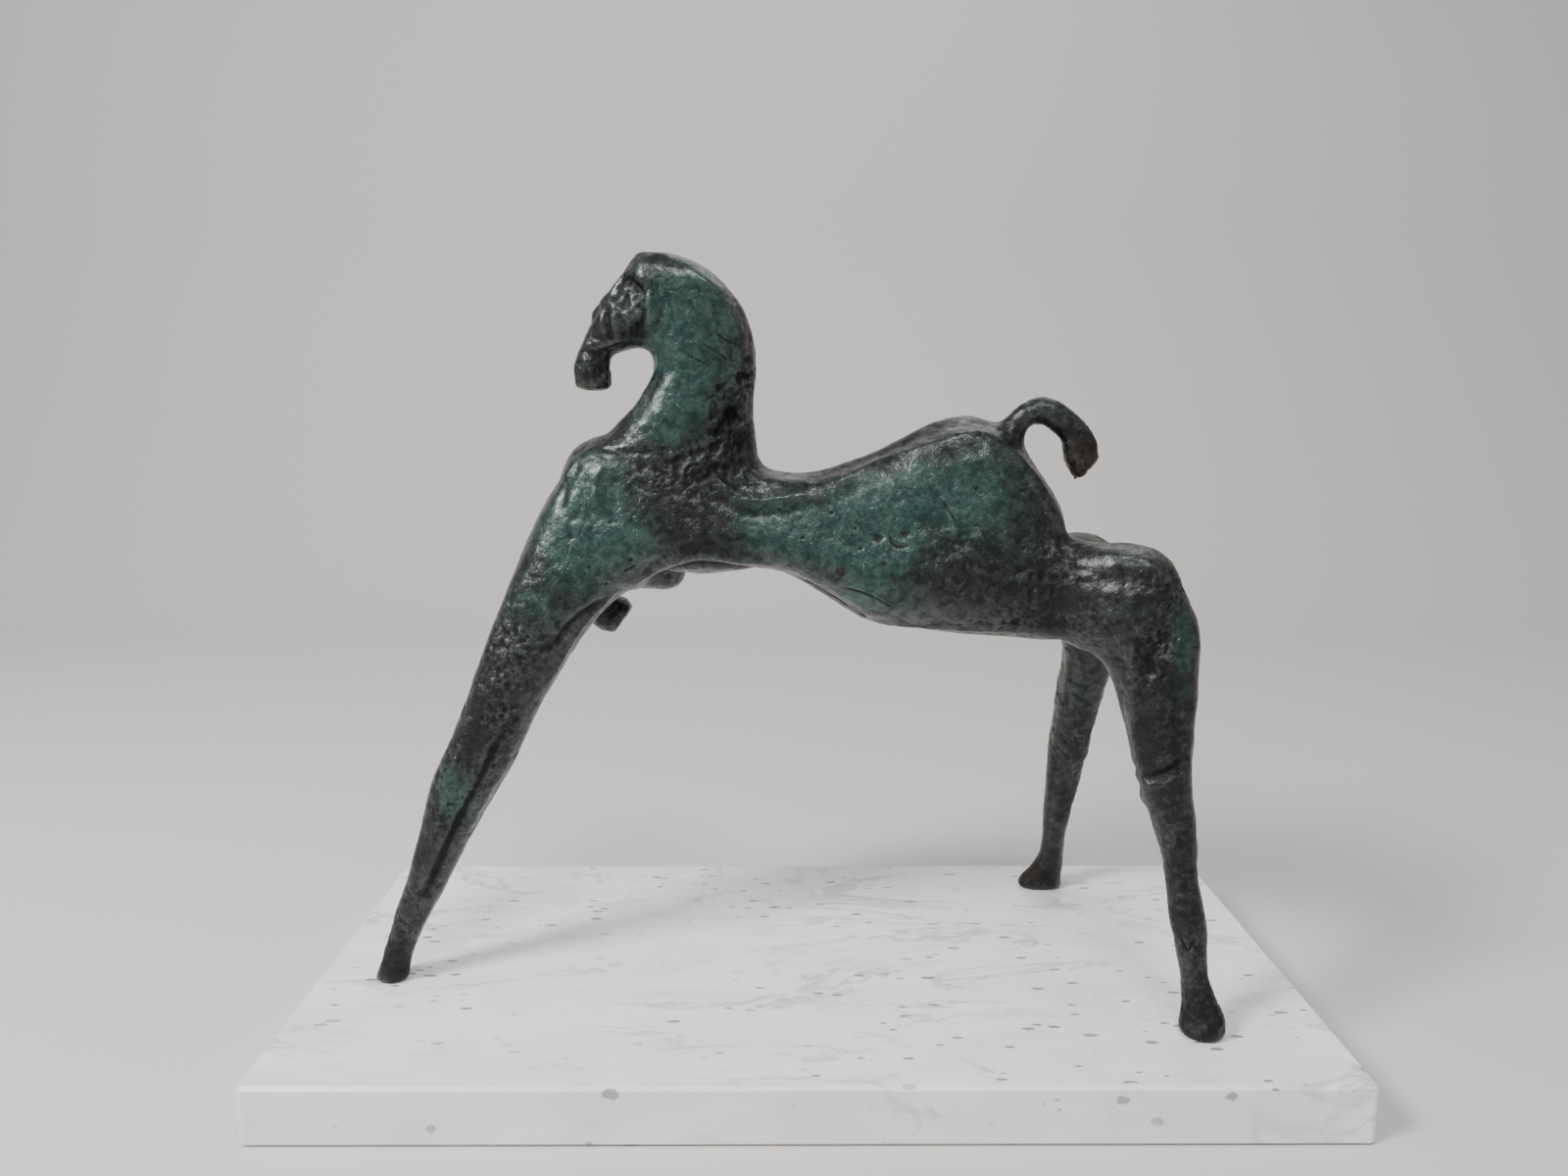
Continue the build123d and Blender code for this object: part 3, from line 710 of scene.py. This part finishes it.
def tree_of(name):
    material = bpy.data.materials.new(name)
    material.use_nodes = True
    tree = material.node_tree
    tree.nodes.clear()
    output = tree.nodes.new("ShaderNodeOutputMaterial")
    shader = tree.nodes.new("ShaderNodeBsdfPrincipled")
    tree.links.new(shader.outputs["BSDF"], output.inputs["Surface"])
    return material, tree, shader


def add(tree, kind, **settings):
    node = tree.nodes.new(kind)
    for key, value in settings.items():
        setattr(node, key, value)
    return node


def feed(tree, value, socket):
    """Links a socket, or sets a plain value."""
    if isinstance(value, bpy.types.NodeSocket):
        tree.links.new(value, socket)
    else:
        socket.default_value = value


def calc(tree, operation, a, b=None, c=None, clamp=False):
    node = add(tree, "ShaderNodeMath", operation=operation, use_clamp=clamp)
    for index, value in enumerate((a, b, c)):
        if value is not None:
            feed(tree, value, node.inputs[index])
    return node.outputs[0]


def mixed(tree, share, a, b):
    """A colour between a and b."""
    node = add(tree, "ShaderNodeMix", data_type="RGBA")
    feed(tree, share, node.inputs["Factor"])
    feed(tree, a, node.inputs["A"])
    feed(tree, b, node.inputs["B"])
    return node.outputs["Result"]


def ramped(tree, value, low, high, to_low=0.0, to_high=1.0):
    """Maps low..high smoothly onto to_low..to_high."""
    node = add(tree, "ShaderNodeMapRange", interpolation_type="SMOOTHSTEP")
    feed(tree, value, node.inputs["Value"])
    feed(tree, low, node.inputs["From Min"])
    feed(tree, high, node.inputs["From Max"])
    feed(tree, to_low, node.inputs["To Min"])
    feed(tree, to_high, node.inputs["To Max"])
    return node.outputs["Result"]


def noise(tree, where, scale, detail=4.0, rough=0.55, warp=0.0):
    node = add(tree, "ShaderNodeTexNoise")
    feed(tree, where, node.inputs["Vector"])
    feed(tree, scale, node.inputs["Scale"])
    node.inputs["Detail"].default_value = detail
    node.inputs["Roughness"].default_value = rough
    node.inputs["Distortion"].default_value = warp
    return node.outputs["Fac"]


def cells(tree, where, scale, feature="F1", output="Distance", spread=1.0):
    node = add(tree, "ShaderNodeTexVoronoi", feature=feature)
    feed(tree, where, node.inputs["Vector"])
    feed(tree, scale, node.inputs["Scale"])
    node.inputs["Randomness"].default_value = spread
    return node.outputs[output]


def place(tree):
    return add(tree, "ShaderNodeTexCoord").outputs["Object"]


def new_group(name, ins, outs):
    group = bpy.data.node_groups.new(name, "ShaderNodeTree")
    for label, kind, default in ins:
        socket = group.interface.new_socket(name=label, in_out="INPUT", socket_type=kind)
        if default is not None:
            socket.default_value = default
    for label, kind in outs:
        group.interface.new_socket(name=label, in_out="OUTPUT", socket_type=kind)
    return group, add(group, "NodeGroupInput"), add(group, "NodeGroupOutput")


def flecks_group():
    """Small flecks of a given size: 1 inside a fleck, 0 outside."""
    group, given, result = new_group(
        "Flecks",
        [
            ("Where", "NodeSocketVector", None),
            ("Scale", "NodeSocketFloat", 300.0),
            ("Amount", "NodeSocketFloat", 0.3),
        ],
        [("Mask", "NodeSocketFloat")],
    )
    where = given.outputs["Where"]
    wobble = add(group, "ShaderNodeVectorMath", operation="ADD")
    swirl = add(group, "ShaderNodeTexNoise")
    swirl.inputs["Scale"].default_value = 420.0
    group.links.new(where, swirl.inputs["Vector"])
    shrink = add(group, "ShaderNodeVectorMath", operation="SCALE")
    group.links.new(swirl.outputs["Color"], shrink.inputs[0])
    shrink.inputs["Scale"].default_value = 0.0022
    group.links.new(where, wobble.inputs[0])
    group.links.new(shrink.outputs[0], wobble.inputs[1])
    spot = cells(group, wobble.outputs[0], given.outputs["Scale"])
    pick = add(group, "ShaderNodeSeparateColor")
    colour = cells(group, wobble.outputs[0], given.outputs["Scale"], output="Color")
    group.links.new(colour, pick.inputs[0])
    size = calc(group, "MULTIPLY", pick.outputs[0], 0.42)
    inside = calc(group, "SUBTRACT", size, spot)
    shape = ramped(group, inside, 0.0, 0.08)
    chosen = calc(group, "LESS_THAN", pick.outputs[1], given.outputs["Amount"])
    group.links.new(calc(group, "MULTIPLY", shape, chosen), result.inputs["Mask"])
    return group


def patina_group():
    """Green and brown patina over bronze, with rubbed wear and painted highlights, laid out by the worked
    masks.
    """
    group, given, result = new_group(
        "Bronze patina",
        [
            ("Where", "NodeSocketVector", None),
            ("Green", "NodeSocketFloat", 0.0),
            ("Dark", "NodeSocketFloat", 0.0),
            ("Hollow", "NodeSocketFloat", 0.0),
            ("Coarse", "NodeSocketFloat", 0.0),
            ("Rubbed", "NodeSocketFloat", 0.0),
            ("Oxide", "NodeSocketFloat", 0.0),
            ("Green Deep", "NodeSocketColor", (0.02, 0.05, 0.04, 1)),
            ("Green Pale", "NodeSocketColor", (0.1, 0.2, 0.16, 1)),
            ("Brown", "NodeSocketColor", (0.03, 0.027, 0.022, 1)),
            ("Black", "NodeSocketColor", (0.006, 0.006, 0.006, 1)),
            # pale colour of scuffs and wear, also used for the painted highlights
            ("Worn", "NodeSocketColor", (0.2, 0.2, 0.17, 1)),
            ("Red Brown", "NodeSocketColor", (0.05, 0.02, 0.01, 1)),
        ],
        [
            ("Color", "NodeSocketColor"),
            ("Roughness", "NodeSocketFloat"),
            ("Metal", "NodeSocketFloat"),
            ("Wax", "NodeSocketFloat"),
            ("Relief", "NodeSocketFloat"),
        ],
    )
    t = group
    where = given.outputs["Where"]
    clouds = noise(t, where, 55.0, 6.0, 0.6, 0.4)
    mottle = noise(t, where, 240.0, 6.0, 0.65, 0.6)
    grit = noise(t, where, 1300.0, 4.0, 0.7)
    streak = noise(t, where, 480.0, 5.0, 0.6, 1.2)
    # green, broken up by the brown underneath
    edge = calc(t, "MULTIPLY_ADD", mottle, 0.35, calc(t, "MULTIPLY_ADD", clouds, 0.6, -0.48))
    green = ramped(t, calc(t, "ADD", given.outputs["Green"], edge), 0.02, 0.85)
    pale = ramped(t, calc(t, "MULTIPLY_ADD", mottle, 0.6, calc(t, "MULTIPLY", streak, 0.5)), 0.44, 0.72)
    green_colour = mixed(t, pale, given.outputs["Green Deep"], given.outputs["Green Pale"])
    brown_shade = calc(t, "MULTIPLY_ADD", streak, 0.5, calc(t, "MULTIPLY", mottle, 0.5))
    brown_shade = ramped(t, brown_shade, 0.38, 0.66)
    brown_colour = mixed(t, brown_shade, given.outputs["Black"], given.outputs["Brown"])
    colour = mixed(t, green, brown_colour, green_colour)
    # green powder that settled in the pores of the coarse places
    flecks = add(t, "ShaderNodeGroup", node_tree=bpy.data.node_groups["Flecks"])
    t.links.new(where, flecks.inputs["Where"])
    flecks.inputs["Scale"].default_value = 420.0
    flecks.inputs["Amount"].default_value = 0.34
    powder = calc(t, "MULTIPLY", flecks.outputs["Mask"], ramped(t, mottle, 0.42, 0.62))
    powder = calc(t, "MULTIPLY", powder, calc(t, "SUBTRACT", 1.0, given.outputs["Dark"], clamp=True))
    colour = mixed(t, calc(t, "MULTIPLY", powder, 0.35), colour, given.outputs["Green Pale"])
    # pale scuffs, drawn slantwise across the green
    slant = add(t, "ShaderNodeMapping")
    slant.inputs["Rotation"].default_value = (0.0, math.radians(38), 0.0)
    slant.inputs["Scale"].default_value = (1.0, 1.0, 0.16)
    t.links.new(where, slant.inputs["Vector"])
    scuff = ramped(t, noise(t, slant.outputs["Vector"], 900.0, 3.0, 0.6, 0.5), 0.62, 0.74)
    scuff = calc(t, "MULTIPLY", scuff, ramped(t, clouds, 0.45, 0.62))
    scuff = calc(t, "MULTIPLY", scuff, calc(t, "MULTIPLY_ADD", green, 0.8, 0.2))
    colour = mixed(t, calc(t, "MULTIPLY", scuff, 0.75), colour, given.outputs["Worn"])
    # black in the hollows and in the places that were left dark
    shade = calc(t, "MULTIPLY_ADD", given.outputs["Dark"], 0.85, calc(t, "MULTIPLY_ADD", mottle, 0.5, -0.28))
    shade = ramped(t, shade, 0.15, 0.8)
    sunk = ramped(t, given.outputs["Hollow"], 0.02, 0.6)
    sunk = calc(t, "MAXIMUM", sunk, calc(t, "MULTIPLY", shade, 0.9))
    colour = mixed(t, calc(t, "MULTIPLY", sunk, 0.88), colour, given.outputs["Black"])
    rust = calc(t, "MULTIPLY", given.outputs["Oxide"], ramped(t, mottle, 0.38, 0.6))
    colour = mixed(t, calc(t, "MULTIPLY", rust, 0.8), colour, given.outputs["Red Brown"])
    # rubbed edges and raised places made paler: real wear on the raised places, and painted highlights at the
    # listed rubbed places
    raised = ramped(t, calc(t, "MULTIPLY", given.outputs["Hollow"], -1.0), 0.12, 0.75)
    rub_and_highlight = calc(t, "MULTIPLY", raised, ramped(t, streak, 0.36, 0.62))
    rub_and_highlight = calc(t, "MAXIMUM", rub_and_highlight, calc(t, "MULTIPLY", given.outputs["Rubbed"], ramped(t, mottle, 0.35, 0.65)))
    rub_and_highlight = calc(t, "MULTIPLY", rub_and_highlight, calc(t, "SUBTRACT", 1.0, calc(t, "MULTIPLY", sunk, 0.8)))
    colour = mixed(t, calc(t, "MULTIPLY", rub_and_highlight, 0.42), colour, given.outputs["Worn"])
    t.links.new(colour, result.inputs["Color"])
    rough = calc(t, "MULTIPLY_ADD", streak, 0.34, 0.20)
    rough = calc(t, "MULTIPLY_ADD", given.outputs["Coarse"], 0.10, rough)
    rough = calc(t, "MULTIPLY_ADD", sunk, 0.16, rough)
    rough = calc(t, "SUBTRACT", rough, calc(t, "MULTIPLY", rub_and_highlight, 0.14), clamp=True)
    t.links.new(rough, result.inputs["Roughness"])
    t.links.new(calc(t, "MULTIPLY_ADD", rub_and_highlight, 0.6, 0.15), result.inputs["Metal"])
    wax = calc(t, "MULTIPLY", ramped(t, mottle, 0.36, 0.6, 0.05, 0.55), calc(t, "SUBTRACT", 1.0, sunk))
    t.links.new(wax, result.inputs["Wax"])
    relief = calc(t, "MULTIPLY_ADD", streak, 1.15, calc(t, "MULTIPLY", grit, 0.42))
    relief = calc(t, "MULTIPLY_ADD", mottle, 0.5, relief)
    pores = cells(t, where, 620.0)
    pores = calc(t, "MULTIPLY", ramped(t, pores, 0.12, 0.3, -0.55, 0.0), ramped(t, mottle, 0.45, 0.6))
    relief = calc(t, "ADD", relief, pores)
    amount = calc(t, "MULTIPLY_ADD", given.outputs["Coarse"], 0.9, 0.55)
    t.links.new(calc(t, "MULTIPLY", relief, amount), result.inputs["Relief"])
    return group


def bronze_material(colours):
    """The patinated, waxed bronze of the castings."""
    material, tree, shader = tree_of("Patinated bronze")
    patina = add(tree, "ShaderNodeGroup", node_tree=bpy.data.node_groups["Bronze patina"])
    tree.links.new(place(tree), patina.inputs["Where"])
    for key in ("green", "dark", "hollow", "coarse", "rubbed", "oxide"):
        mask = add(tree, "ShaderNodeAttribute", attribute_name=key)
        tree.links.new(mask.outputs["Fac"], patina.inputs[key.title()])
    for key in ("green_deep", "green_pale", "brown", "black", "worn", "red_brown"):
        patina.inputs[key.replace("_", " ").title()].default_value = (*getattr(colours, key), 1)
    tree.links.new(patina.outputs["Color"], shader.inputs["Base Color"])
    tree.links.new(patina.outputs["Roughness"], shader.inputs["Roughness"])
    tree.links.new(patina.outputs["Metal"], shader.inputs["Metallic"])
    tree.links.new(patina.outputs["Wax"], shader.inputs["Coat Weight"])
    shader.inputs["Coat Roughness"].default_value = 0.16
    shader.inputs["Specular IOR Level"].default_value = 0.30
    bump = add(tree, "ShaderNodeBump")
    bump.inputs["Strength"].default_value = 1.0
    bump.inputs["Distance"].default_value = 0.00026
    tree.links.new(patina.outputs["Relief"], bump.inputs["Height"])
    tree.links.new(bump.outputs["Normal"], shader.inputs["Normal"])
    tree.links.new(bump.outputs["Normal"], shader.inputs["Coat Normal"])
    return material


def marble_material(colours):
    """Honed white marble with faint veins and small grey flecks."""
    material, tree, shader = tree_of("White marble")
    where = place(tree)
    stretch = add(tree, "ShaderNodeMapping")
    stretch.inputs["Rotation"].default_value = (0.2, 0.1, math.radians(28))
    stretch.inputs["Scale"].default_value = (1.0, 2.6, 1.4)
    tree.links.new(where, stretch.inputs["Vector"])
    lay = stretch.outputs["Vector"]
    clouds = noise(tree, lay, 11.0, 7.0, 0.6, 1.2)
    vein = noise(tree, lay, 7.0, 9.0, 0.62, 1.2)
    thin = calc(tree, "ABSOLUTE", calc(tree, "SUBTRACT", vein, 0.5))
    thin = ramped(tree, thin, 0.0, 0.025, 1.0, 0.0)
    thin = calc(tree, "MULTIPLY", thin, ramped(tree, noise(tree, lay, 14.0, 3.0), 0.40, 0.62))
    white, cloud = (*colours.marble_white, 1), (*colours.marble_cloud, 1)
    colour = mixed(tree, ramped(tree, clouds, 0.35, 0.7), white, cloud)
    colour = mixed(tree, calc(tree, "MULTIPLY", thin, 0.45), colour, (*colours.marble_vein, 1))
    flecks = add(tree, "ShaderNodeGroup", node_tree=bpy.data.node_groups["Flecks"])
    tree.links.new(lay, flecks.inputs["Where"])
    flecks.inputs["Scale"].default_value = 130.0
    flecks.inputs["Amount"].default_value = 0.30
    drifts = ramped(tree, noise(tree, where, 18.0, 3.0), 0.36, 0.56)
    specks = calc(tree, "MULTIPLY", flecks.outputs["Mask"], drifts)
    colour = mixed(tree, calc(tree, "MULTIPLY", specks, 0.85), colour, (*colours.marble_vein, 1))
    # the slab's upright faces are made darker and warmer, in patches
    side = add(tree, "ShaderNodeNewGeometry")
    facing = add(tree, "ShaderNodeSeparateXYZ")
    tree.links.new(side.outputs["Normal"], facing.inputs[0])
    side_darkening = ramped(tree, calc(tree, "ABSOLUTE", facing.outputs["Z"]), 0.2, 0.8, 0.30, 0.0)
    patches = ramped(tree, noise(tree, where, 40.0, 6.0), 0.3, 0.7, 0.4, 1.0)
    side_darkening = calc(tree, "MULTIPLY", side_darkening, patches)
    colour = mixed(tree, side_darkening, colour, (*colours.marble_edge, 1))
    tree.links.new(colour, shader.inputs["Base Color"])
    sugar = noise(tree, where, 900.0, 3.0)
    tree.links.new(calc(tree, "MULTIPLY_ADD", sugar, 0.16, 0.30), shader.inputs["Roughness"])
    shader.inputs["Subsurface Weight"].default_value = 0.12
    shader.inputs["Subsurface Radius"].default_value = (1.0, 0.9, 0.8)
    shader.inputs["Subsurface Scale"].default_value = 0.004
    saw = add(tree, "ShaderNodeTexWave", wave_type="BANDS", bands_direction="Z")
    saw.inputs["Scale"].default_value = 140.0
    saw.inputs["Distortion"].default_value = 3.0
    tree.links.new(where, saw.inputs["Vector"])
    sawn = calc(tree, "MULTIPLY", saw.outputs["Fac"], calc(tree, "MULTIPLY", side_darkening, 0.5))
    bump = add(tree, "ShaderNodeBump")
    bump.inputs["Distance"].default_value = 0.00012
    tree.links.new(calc(tree, "ADD", calc(tree, "MULTIPLY", sugar, 0.6), sawn), bump.inputs["Height"])
    tree.links.new(bump.outputs["Normal"], shader.inputs["Normal"])
    return material


def felt_material(colours):
    """Dark wool felt: matted fibres."""
    material, tree, shader = tree_of("Dark felt")
    where = place(tree)
    fibres = noise(tree, where, 1800.0, 6.0, 0.7, 2.0)
    tufts = noise(tree, where, 260.0, 5.0, 0.6)
    mix = calc(tree, "MULTIPLY_ADD", fibres, 0.6, calc(tree, "MULTIPLY", tufts, 0.4))
    dark = (*(c * 0.5 for c in colours.felt), 1)
    light = (*(c * 1.9 for c in colours.felt), 1)
    tree.links.new(mixed(tree, ramped(tree, mix, 0.35, 0.65), dark, light), shader.inputs["Base Color"])
    shader.inputs["Roughness"].default_value = 0.95
    shader.inputs["Sheen Weight"].default_value = 0.35
    bump = add(tree, "ShaderNodeBump")
    bump.inputs["Distance"].default_value = 0.0004
    tree.links.new(mix, bump.inputs["Height"])
    tree.links.new(bump.outputs["Normal"], shader.inputs["Normal"])
    return material


def metal_material(name, colour, scale, roughness):
    """Turned metal with fine marks and slight staining."""
    material, tree, shader = tree_of(name)
    where = place(tree)
    stretch = add(tree, "ShaderNodeMapping")
    stretch.inputs["Scale"].default_value = (1.0, 1.0, 9.0)
    tree.links.new(where, stretch.inputs["Vector"])
    turned = noise(tree, stretch.outputs["Vector"], scale, 4.0, 0.6)
    stains = noise(tree, where, 160.0, 5.0, 0.6)
    dull = (*(c * 0.55 for c in colour), 1)
    stained = mixed(tree, ramped(tree, stains, 0.4, 0.7), (*colour, 1), dull)
    tree.links.new(stained, shader.inputs["Base Color"])
    shader.inputs["Metallic"].default_value = 1.0
    rough = calc(tree, "MULTIPLY_ADD", turned, 0.25, roughness)
    tree.links.new(rough, shader.inputs["Roughness"])
    bump = add(tree, "ShaderNodeBump")
    bump.inputs["Distance"].default_value = 0.00006
    tree.links.new(turned, bump.inputs["Height"])
    tree.links.new(bump.outputs["Normal"], shader.inputs["Normal"])
    return material


def plain_material(name, colour, roughness):
    material, _, shader = tree_of(name)
    shader.inputs["Base Color"].default_value = (*colour, 1)
    shader.inputs["Roughness"].default_value = roughness
    return material


def dress(obj, material):
    obj.data.materials.clear()
    obj.data.materials.append(material)


# ---------------------------------------------------------------- settings


def length_setting(name, description, default, low, high):
    return bpy.props.FloatProperty(
        name=name, description=description, default=default, min=low, max=high, unit="NONE", precision=2
    )


def power_setting(name, description, default):
    return bpy.props.FloatProperty(name=name, description=description, default=default, min=0, unit="POWER")


def colour_setting(name, description, default):
    return bpy.props.FloatVectorProperty(
        name=name, description=description, default=default, min=0, max=1, size=3, subtype="COLOR"
    )


class HorseSizes(bpy.types.PropertyGroup):
    """Grid and relief of the bronze skin."""

    block_in: length_setting("Blocking grid", "Grid that the castings are blocked in on, in mm", 1.3, 0.9, 4)
    relief: length_setting("Relief", "Strength of the hand-worked surface", 1.0, 0, 2)


class HorseColours(bpy.types.PropertyGroup):
    """Colours of the patina, the slab and the felt."""

    green_deep: colour_setting("Deep green", "Green patina in the thick of it", (0.007, 0.026, 0.022))
    green_pale: colour_setting("Pale green", "Powdery green", (0.026, 0.062, 0.052))
    brown: colour_setting("Brown", "Grey-brown patina", (0.0065, 0.0085, 0.0080))
    black: colour_setting("Black", "Hollows and dark patches", (0.0018, 0.0019, 0.0019))
    worn: colour_setting("Worn", "Rubbed edges", (0.11, 0.135, 0.12))
    # pale colour of scuffs and rubbed wear, also used for the painted highlights
    red_brown: colour_setting("Red-brown", "Oxide on the tail's tip", (0.055, 0.022, 0.014))
    marble_white: colour_setting("Marble", "Ground of the marble", (0.92, 0.92, 0.91))
    marble_cloud: colour_setting("Marble clouds", "Faint clouds", (0.80, 0.80, 0.81))
    marble_vein: colour_setting("Marble veins", "Veins and flecks", (0.20, 0.20, 0.215))
    # colour that the slab's upright faces are darkened towards, in patches
    marble_edge: colour_setting("Marble edge", "Sawn edge", (0.66, 0.63, 0.60))
    felt: colour_setting("Felt", "Wool felt under the slab", (0.018, 0.018, 0.020))
    bare_bronze: colour_setting("Bare bronze", "Dowels", (0.50, 0.33, 0.16))
    zinc: colour_setting("Zinc", "Studs, nuts and washers", (0.60, 0.61, 0.63))


class HorseStage(bpy.types.PropertyGroup):
    """The camera, the floor and the lamps."""

    lens: bpy.props.FloatProperty(name="Lens", description="Focal length", default=27.26, unit="CAMERA")
    floor: colour_setting("Floor", "Plain pale floor", (0.66, 0.64, 0.62))
    key: power_setting("Key", "Power of the main lamp", 22.0)
    top: power_setting("Top", "Power of the top lamp", 6.0)
    fill: power_setting("Fill", "Power of the fill lamp", 1.6)
    back: power_setting("Back", "Power of the back lamp", 2.5)
    sky: bpy.props.FloatProperty(name="Sky", description="Strength of the room's light", default=0.46, min=0)


# ---------------------------------------------------------------- operators


class HORSE_OT_stage(bpy.types.Operator):
    """Sets up the floor, the lamps and the camera"""

    bl_idname = "horse.stage"
    bl_label = "Stage"

    def lamp(self, name, power, size, place_at, aim, gloss=1.0):
        light = bpy.data.lights.new(name, "AREA")
        light.shape = "RECTANGLE"
        light.size, light.size_y = size
        light.energy = power
        light.specular_factor = gloss
        obj = bpy.data.objects.new(name, light)
        obj.location = place_at
        obj.rotation_euler = (Vector(aim) - Vector(place_at)).to_track_quat("-Z", "Y").to_euler()
        bpy.context.scene.collection.objects.link(obj)

    def execute(self, context):
        stage = context.scene.horse_stage
        build = bmesh.new()
        half, front, back, rise, radius, steps = 3.0, -3.0, 1.15, 1.6, 0.45, 16
        rows = [(front, 0.0)]
        for k in range(steps + 1):
            turn = math.radians(90 * k / steps)
            rows.append((back - radius + radius * math.sin(turn), radius * (1 - math.cos(turn))))
        rows.append((back, rise))
        grid = [[build.verts.new((x, y, z)) for x in (-half, half)] for y, z in rows]
        for low, high in zip(grid, grid[1:]):
            build.faces.new((low[0], low[1], high[1], high[0]))
        mesh = bpy.data.meshes.new("pale_floor")
        build.to_mesh(mesh)
        build.free()
        for face in mesh.polygons:
            face.use_smooth = True
        floor = bpy.data.objects.new("pale_floor", mesh)
        context.scene.collection.objects.link(floor)
        dress(floor, plain_material("Pale floor", stage.floor, 0.7))

        self.lamp("key_lamp", stage.key, (0.34, 0.34), (-0.85, -0.60, 1.0), (0.0, 0.0, 0.15), 0.25)
        self.lamp("top_lamp", stage.top, (0.26, 0.20), (0.10, -0.62, 1.20), (0.0, 0.0, 0.18), 1.0)
        self.lamp("fill_lamp", stage.fill, (1.2, 1.0), (1.25, -0.9, 0.55), (0.05, 0.0, 0.14))
        self.lamp("back_lamp", stage.back, (0.9, 0.5), (0.35, 0.85, 1.15), (0.0, 0.0, 0.16))

        world = bpy.data.worlds.new("Room")
        world.use_nodes = True
        sky = world.node_tree.nodes["Background"]
        sky.inputs["Color"].default_value = (1.0, 0.99, 0.975, 1)
        sky.inputs["Strength"].default_value = stage.sky
        context.scene.world = world

        camera = bpy.data.cameras.new("camera")
        camera.lens = stage.lens
        camera.sensor_width = 36.0
        camera.clip_start = 0.01
        rig = bpy.data.objects.new("camera", camera)
        rig.location = (-0.00873, -0.4395, 0.24356)
        rig.rotation_euler = (math.radians(90 - 9.663), 0, math.radians(-0.166))
        context.scene.collection.objects.link(rig)
        context.scene.camera = rig
        return {"FINISHED"}


class HORSE_OT_castings(bpy.types.Operator):
    """Works the eight bronze castings as one skin and parts them at their joints"""

    bl_idname = "horse.castings"
    bl_label = "Bronze castings"

    def execute(self, context):
        sizes = context.scene.horse_sizes
        flecks_group()
        patina_group()
        bronze = bronze_material(context.scene.horse_colours)
        work, form, coarse = sculpted_form(sizes)
        masks = surface_masks(form, coarse)
        normals = form.normals()
        label = tidy_labels(form, casting_of_faces(form))
        for index, name in enumerate(CASTINGS):
            chosen = label == index
            if not chosen.any():
                raise RuntimeError(f"no part of the skin lies on {name}")
            piece = capped_piece(name.replace("_casting", ""), form, normals, masks, chosen)
            dress(piece, bronze)
            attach(piece, "root")
            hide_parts(name)
        mesh = work.data
        bpy.data.objects.remove(work)
        bpy.data.meshes.remove(mesh)
        return {"FINISHED"}


class HORSE_OT_plugs(bpy.types.Operator):
    """Finishes the core pin plugs and the vent plate"""

    bl_idname = "horse.plugs"
    bl_label = "Core plugs and vent plate"

    def execute(self, context):
        bronze = bpy.data.materials["Patinated bronze"]
        for name in PLUGS + ["core_vent_plate"]:
            dress(NODES[name], bronze)
        return {"FINISHED"}


class HORSE_OT_slab(bpy.types.Operator):
    """Finishes the marble slab"""

    bl_idname = "horse.slab"
    bl_label = "Marble slab"

    def execute(self, context):
        dress(NODES["marble_slab"], marble_material(context.scene.horse_colours))
        return {"FINISHED"}


class HORSE_OT_fixings(bpy.types.Operator):
    """Finishes the felt, the dowels, the studs, the washers and the nuts"""

    bl_idname = "horse.fixings"
    bl_label = "Felt and fixings"

    def execute(self, context):
        colours = context.scene.horse_colours
        dress(NODES["felt_pad"], felt_material(colours))
        bare = metal_material("Bare bronze", colours.bare_bronze, 900.0, 0.28)
        zinc = metal_material("Zinc-plated steel", colours.zinc, 1200.0, 0.24)
        for name, node in NODES.items():
            if name.endswith("_dowel"):
                dress(node, bare)
            elif name.endswith(("_stud", "_washer", "_nut")):
                dress(node, zinc)
        return {"FINISHED"}


class HORSE_PT_panel(bpy.types.Panel):
    """Lists the steps and their settings"""

    bl_idname = "HORSE_PT_panel"
    bl_label = "Bronze horse"
    bl_space_type = "VIEW_3D"
    bl_region_type = "UI"
    bl_category = "Bronze horse"

    def draw(self, context):
        layout = self.layout
        for operator in OPERATORS:
            layout.operator(operator.bl_idname)
        for group in ("horse_sizes", "horse_colours", "horse_stage"):
            settings = getattr(context.scene, group)
            for key in settings.__annotations__:
                layout.prop(settings, key)


OPERATORS = [HORSE_OT_stage, HORSE_OT_castings, HORSE_OT_plugs, HORSE_OT_slab, HORSE_OT_fixings]
SETTINGS = {"horse_sizes": HorseSizes, "horse_colours": HorseColours, "horse_stage": HorseStage}


def register():
    for group in SETTINGS.values():
        bpy.utils.register_class(group)
    for key, group in SETTINGS.items():
        setattr(bpy.types.Scene, key, bpy.props.PointerProperty(type=group))
    for operator in OPERATORS:
        bpy.utils.register_class(operator)
    bpy.utils.register_class(HORSE_PT_panel)


def unregister():
    bpy.utils.unregister_class(HORSE_PT_panel)
    for operator in reversed(OPERATORS):
        bpy.utils.unregister_class(operator)
    for key, group in SETTINGS.items():
        delattr(bpy.types.Scene, key)
        bpy.utils.unregister_class(group)


def main():
    register()
    bpy.ops.horse.stage()
    bpy.ops.horse.castings()
    bpy.ops.horse.plugs()
    bpy.ops.horse.slab()
    bpy.ops.horse.fixings()
    bpy.context.view_layer.update()
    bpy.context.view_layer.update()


if __name__ == "__main__":
    main()
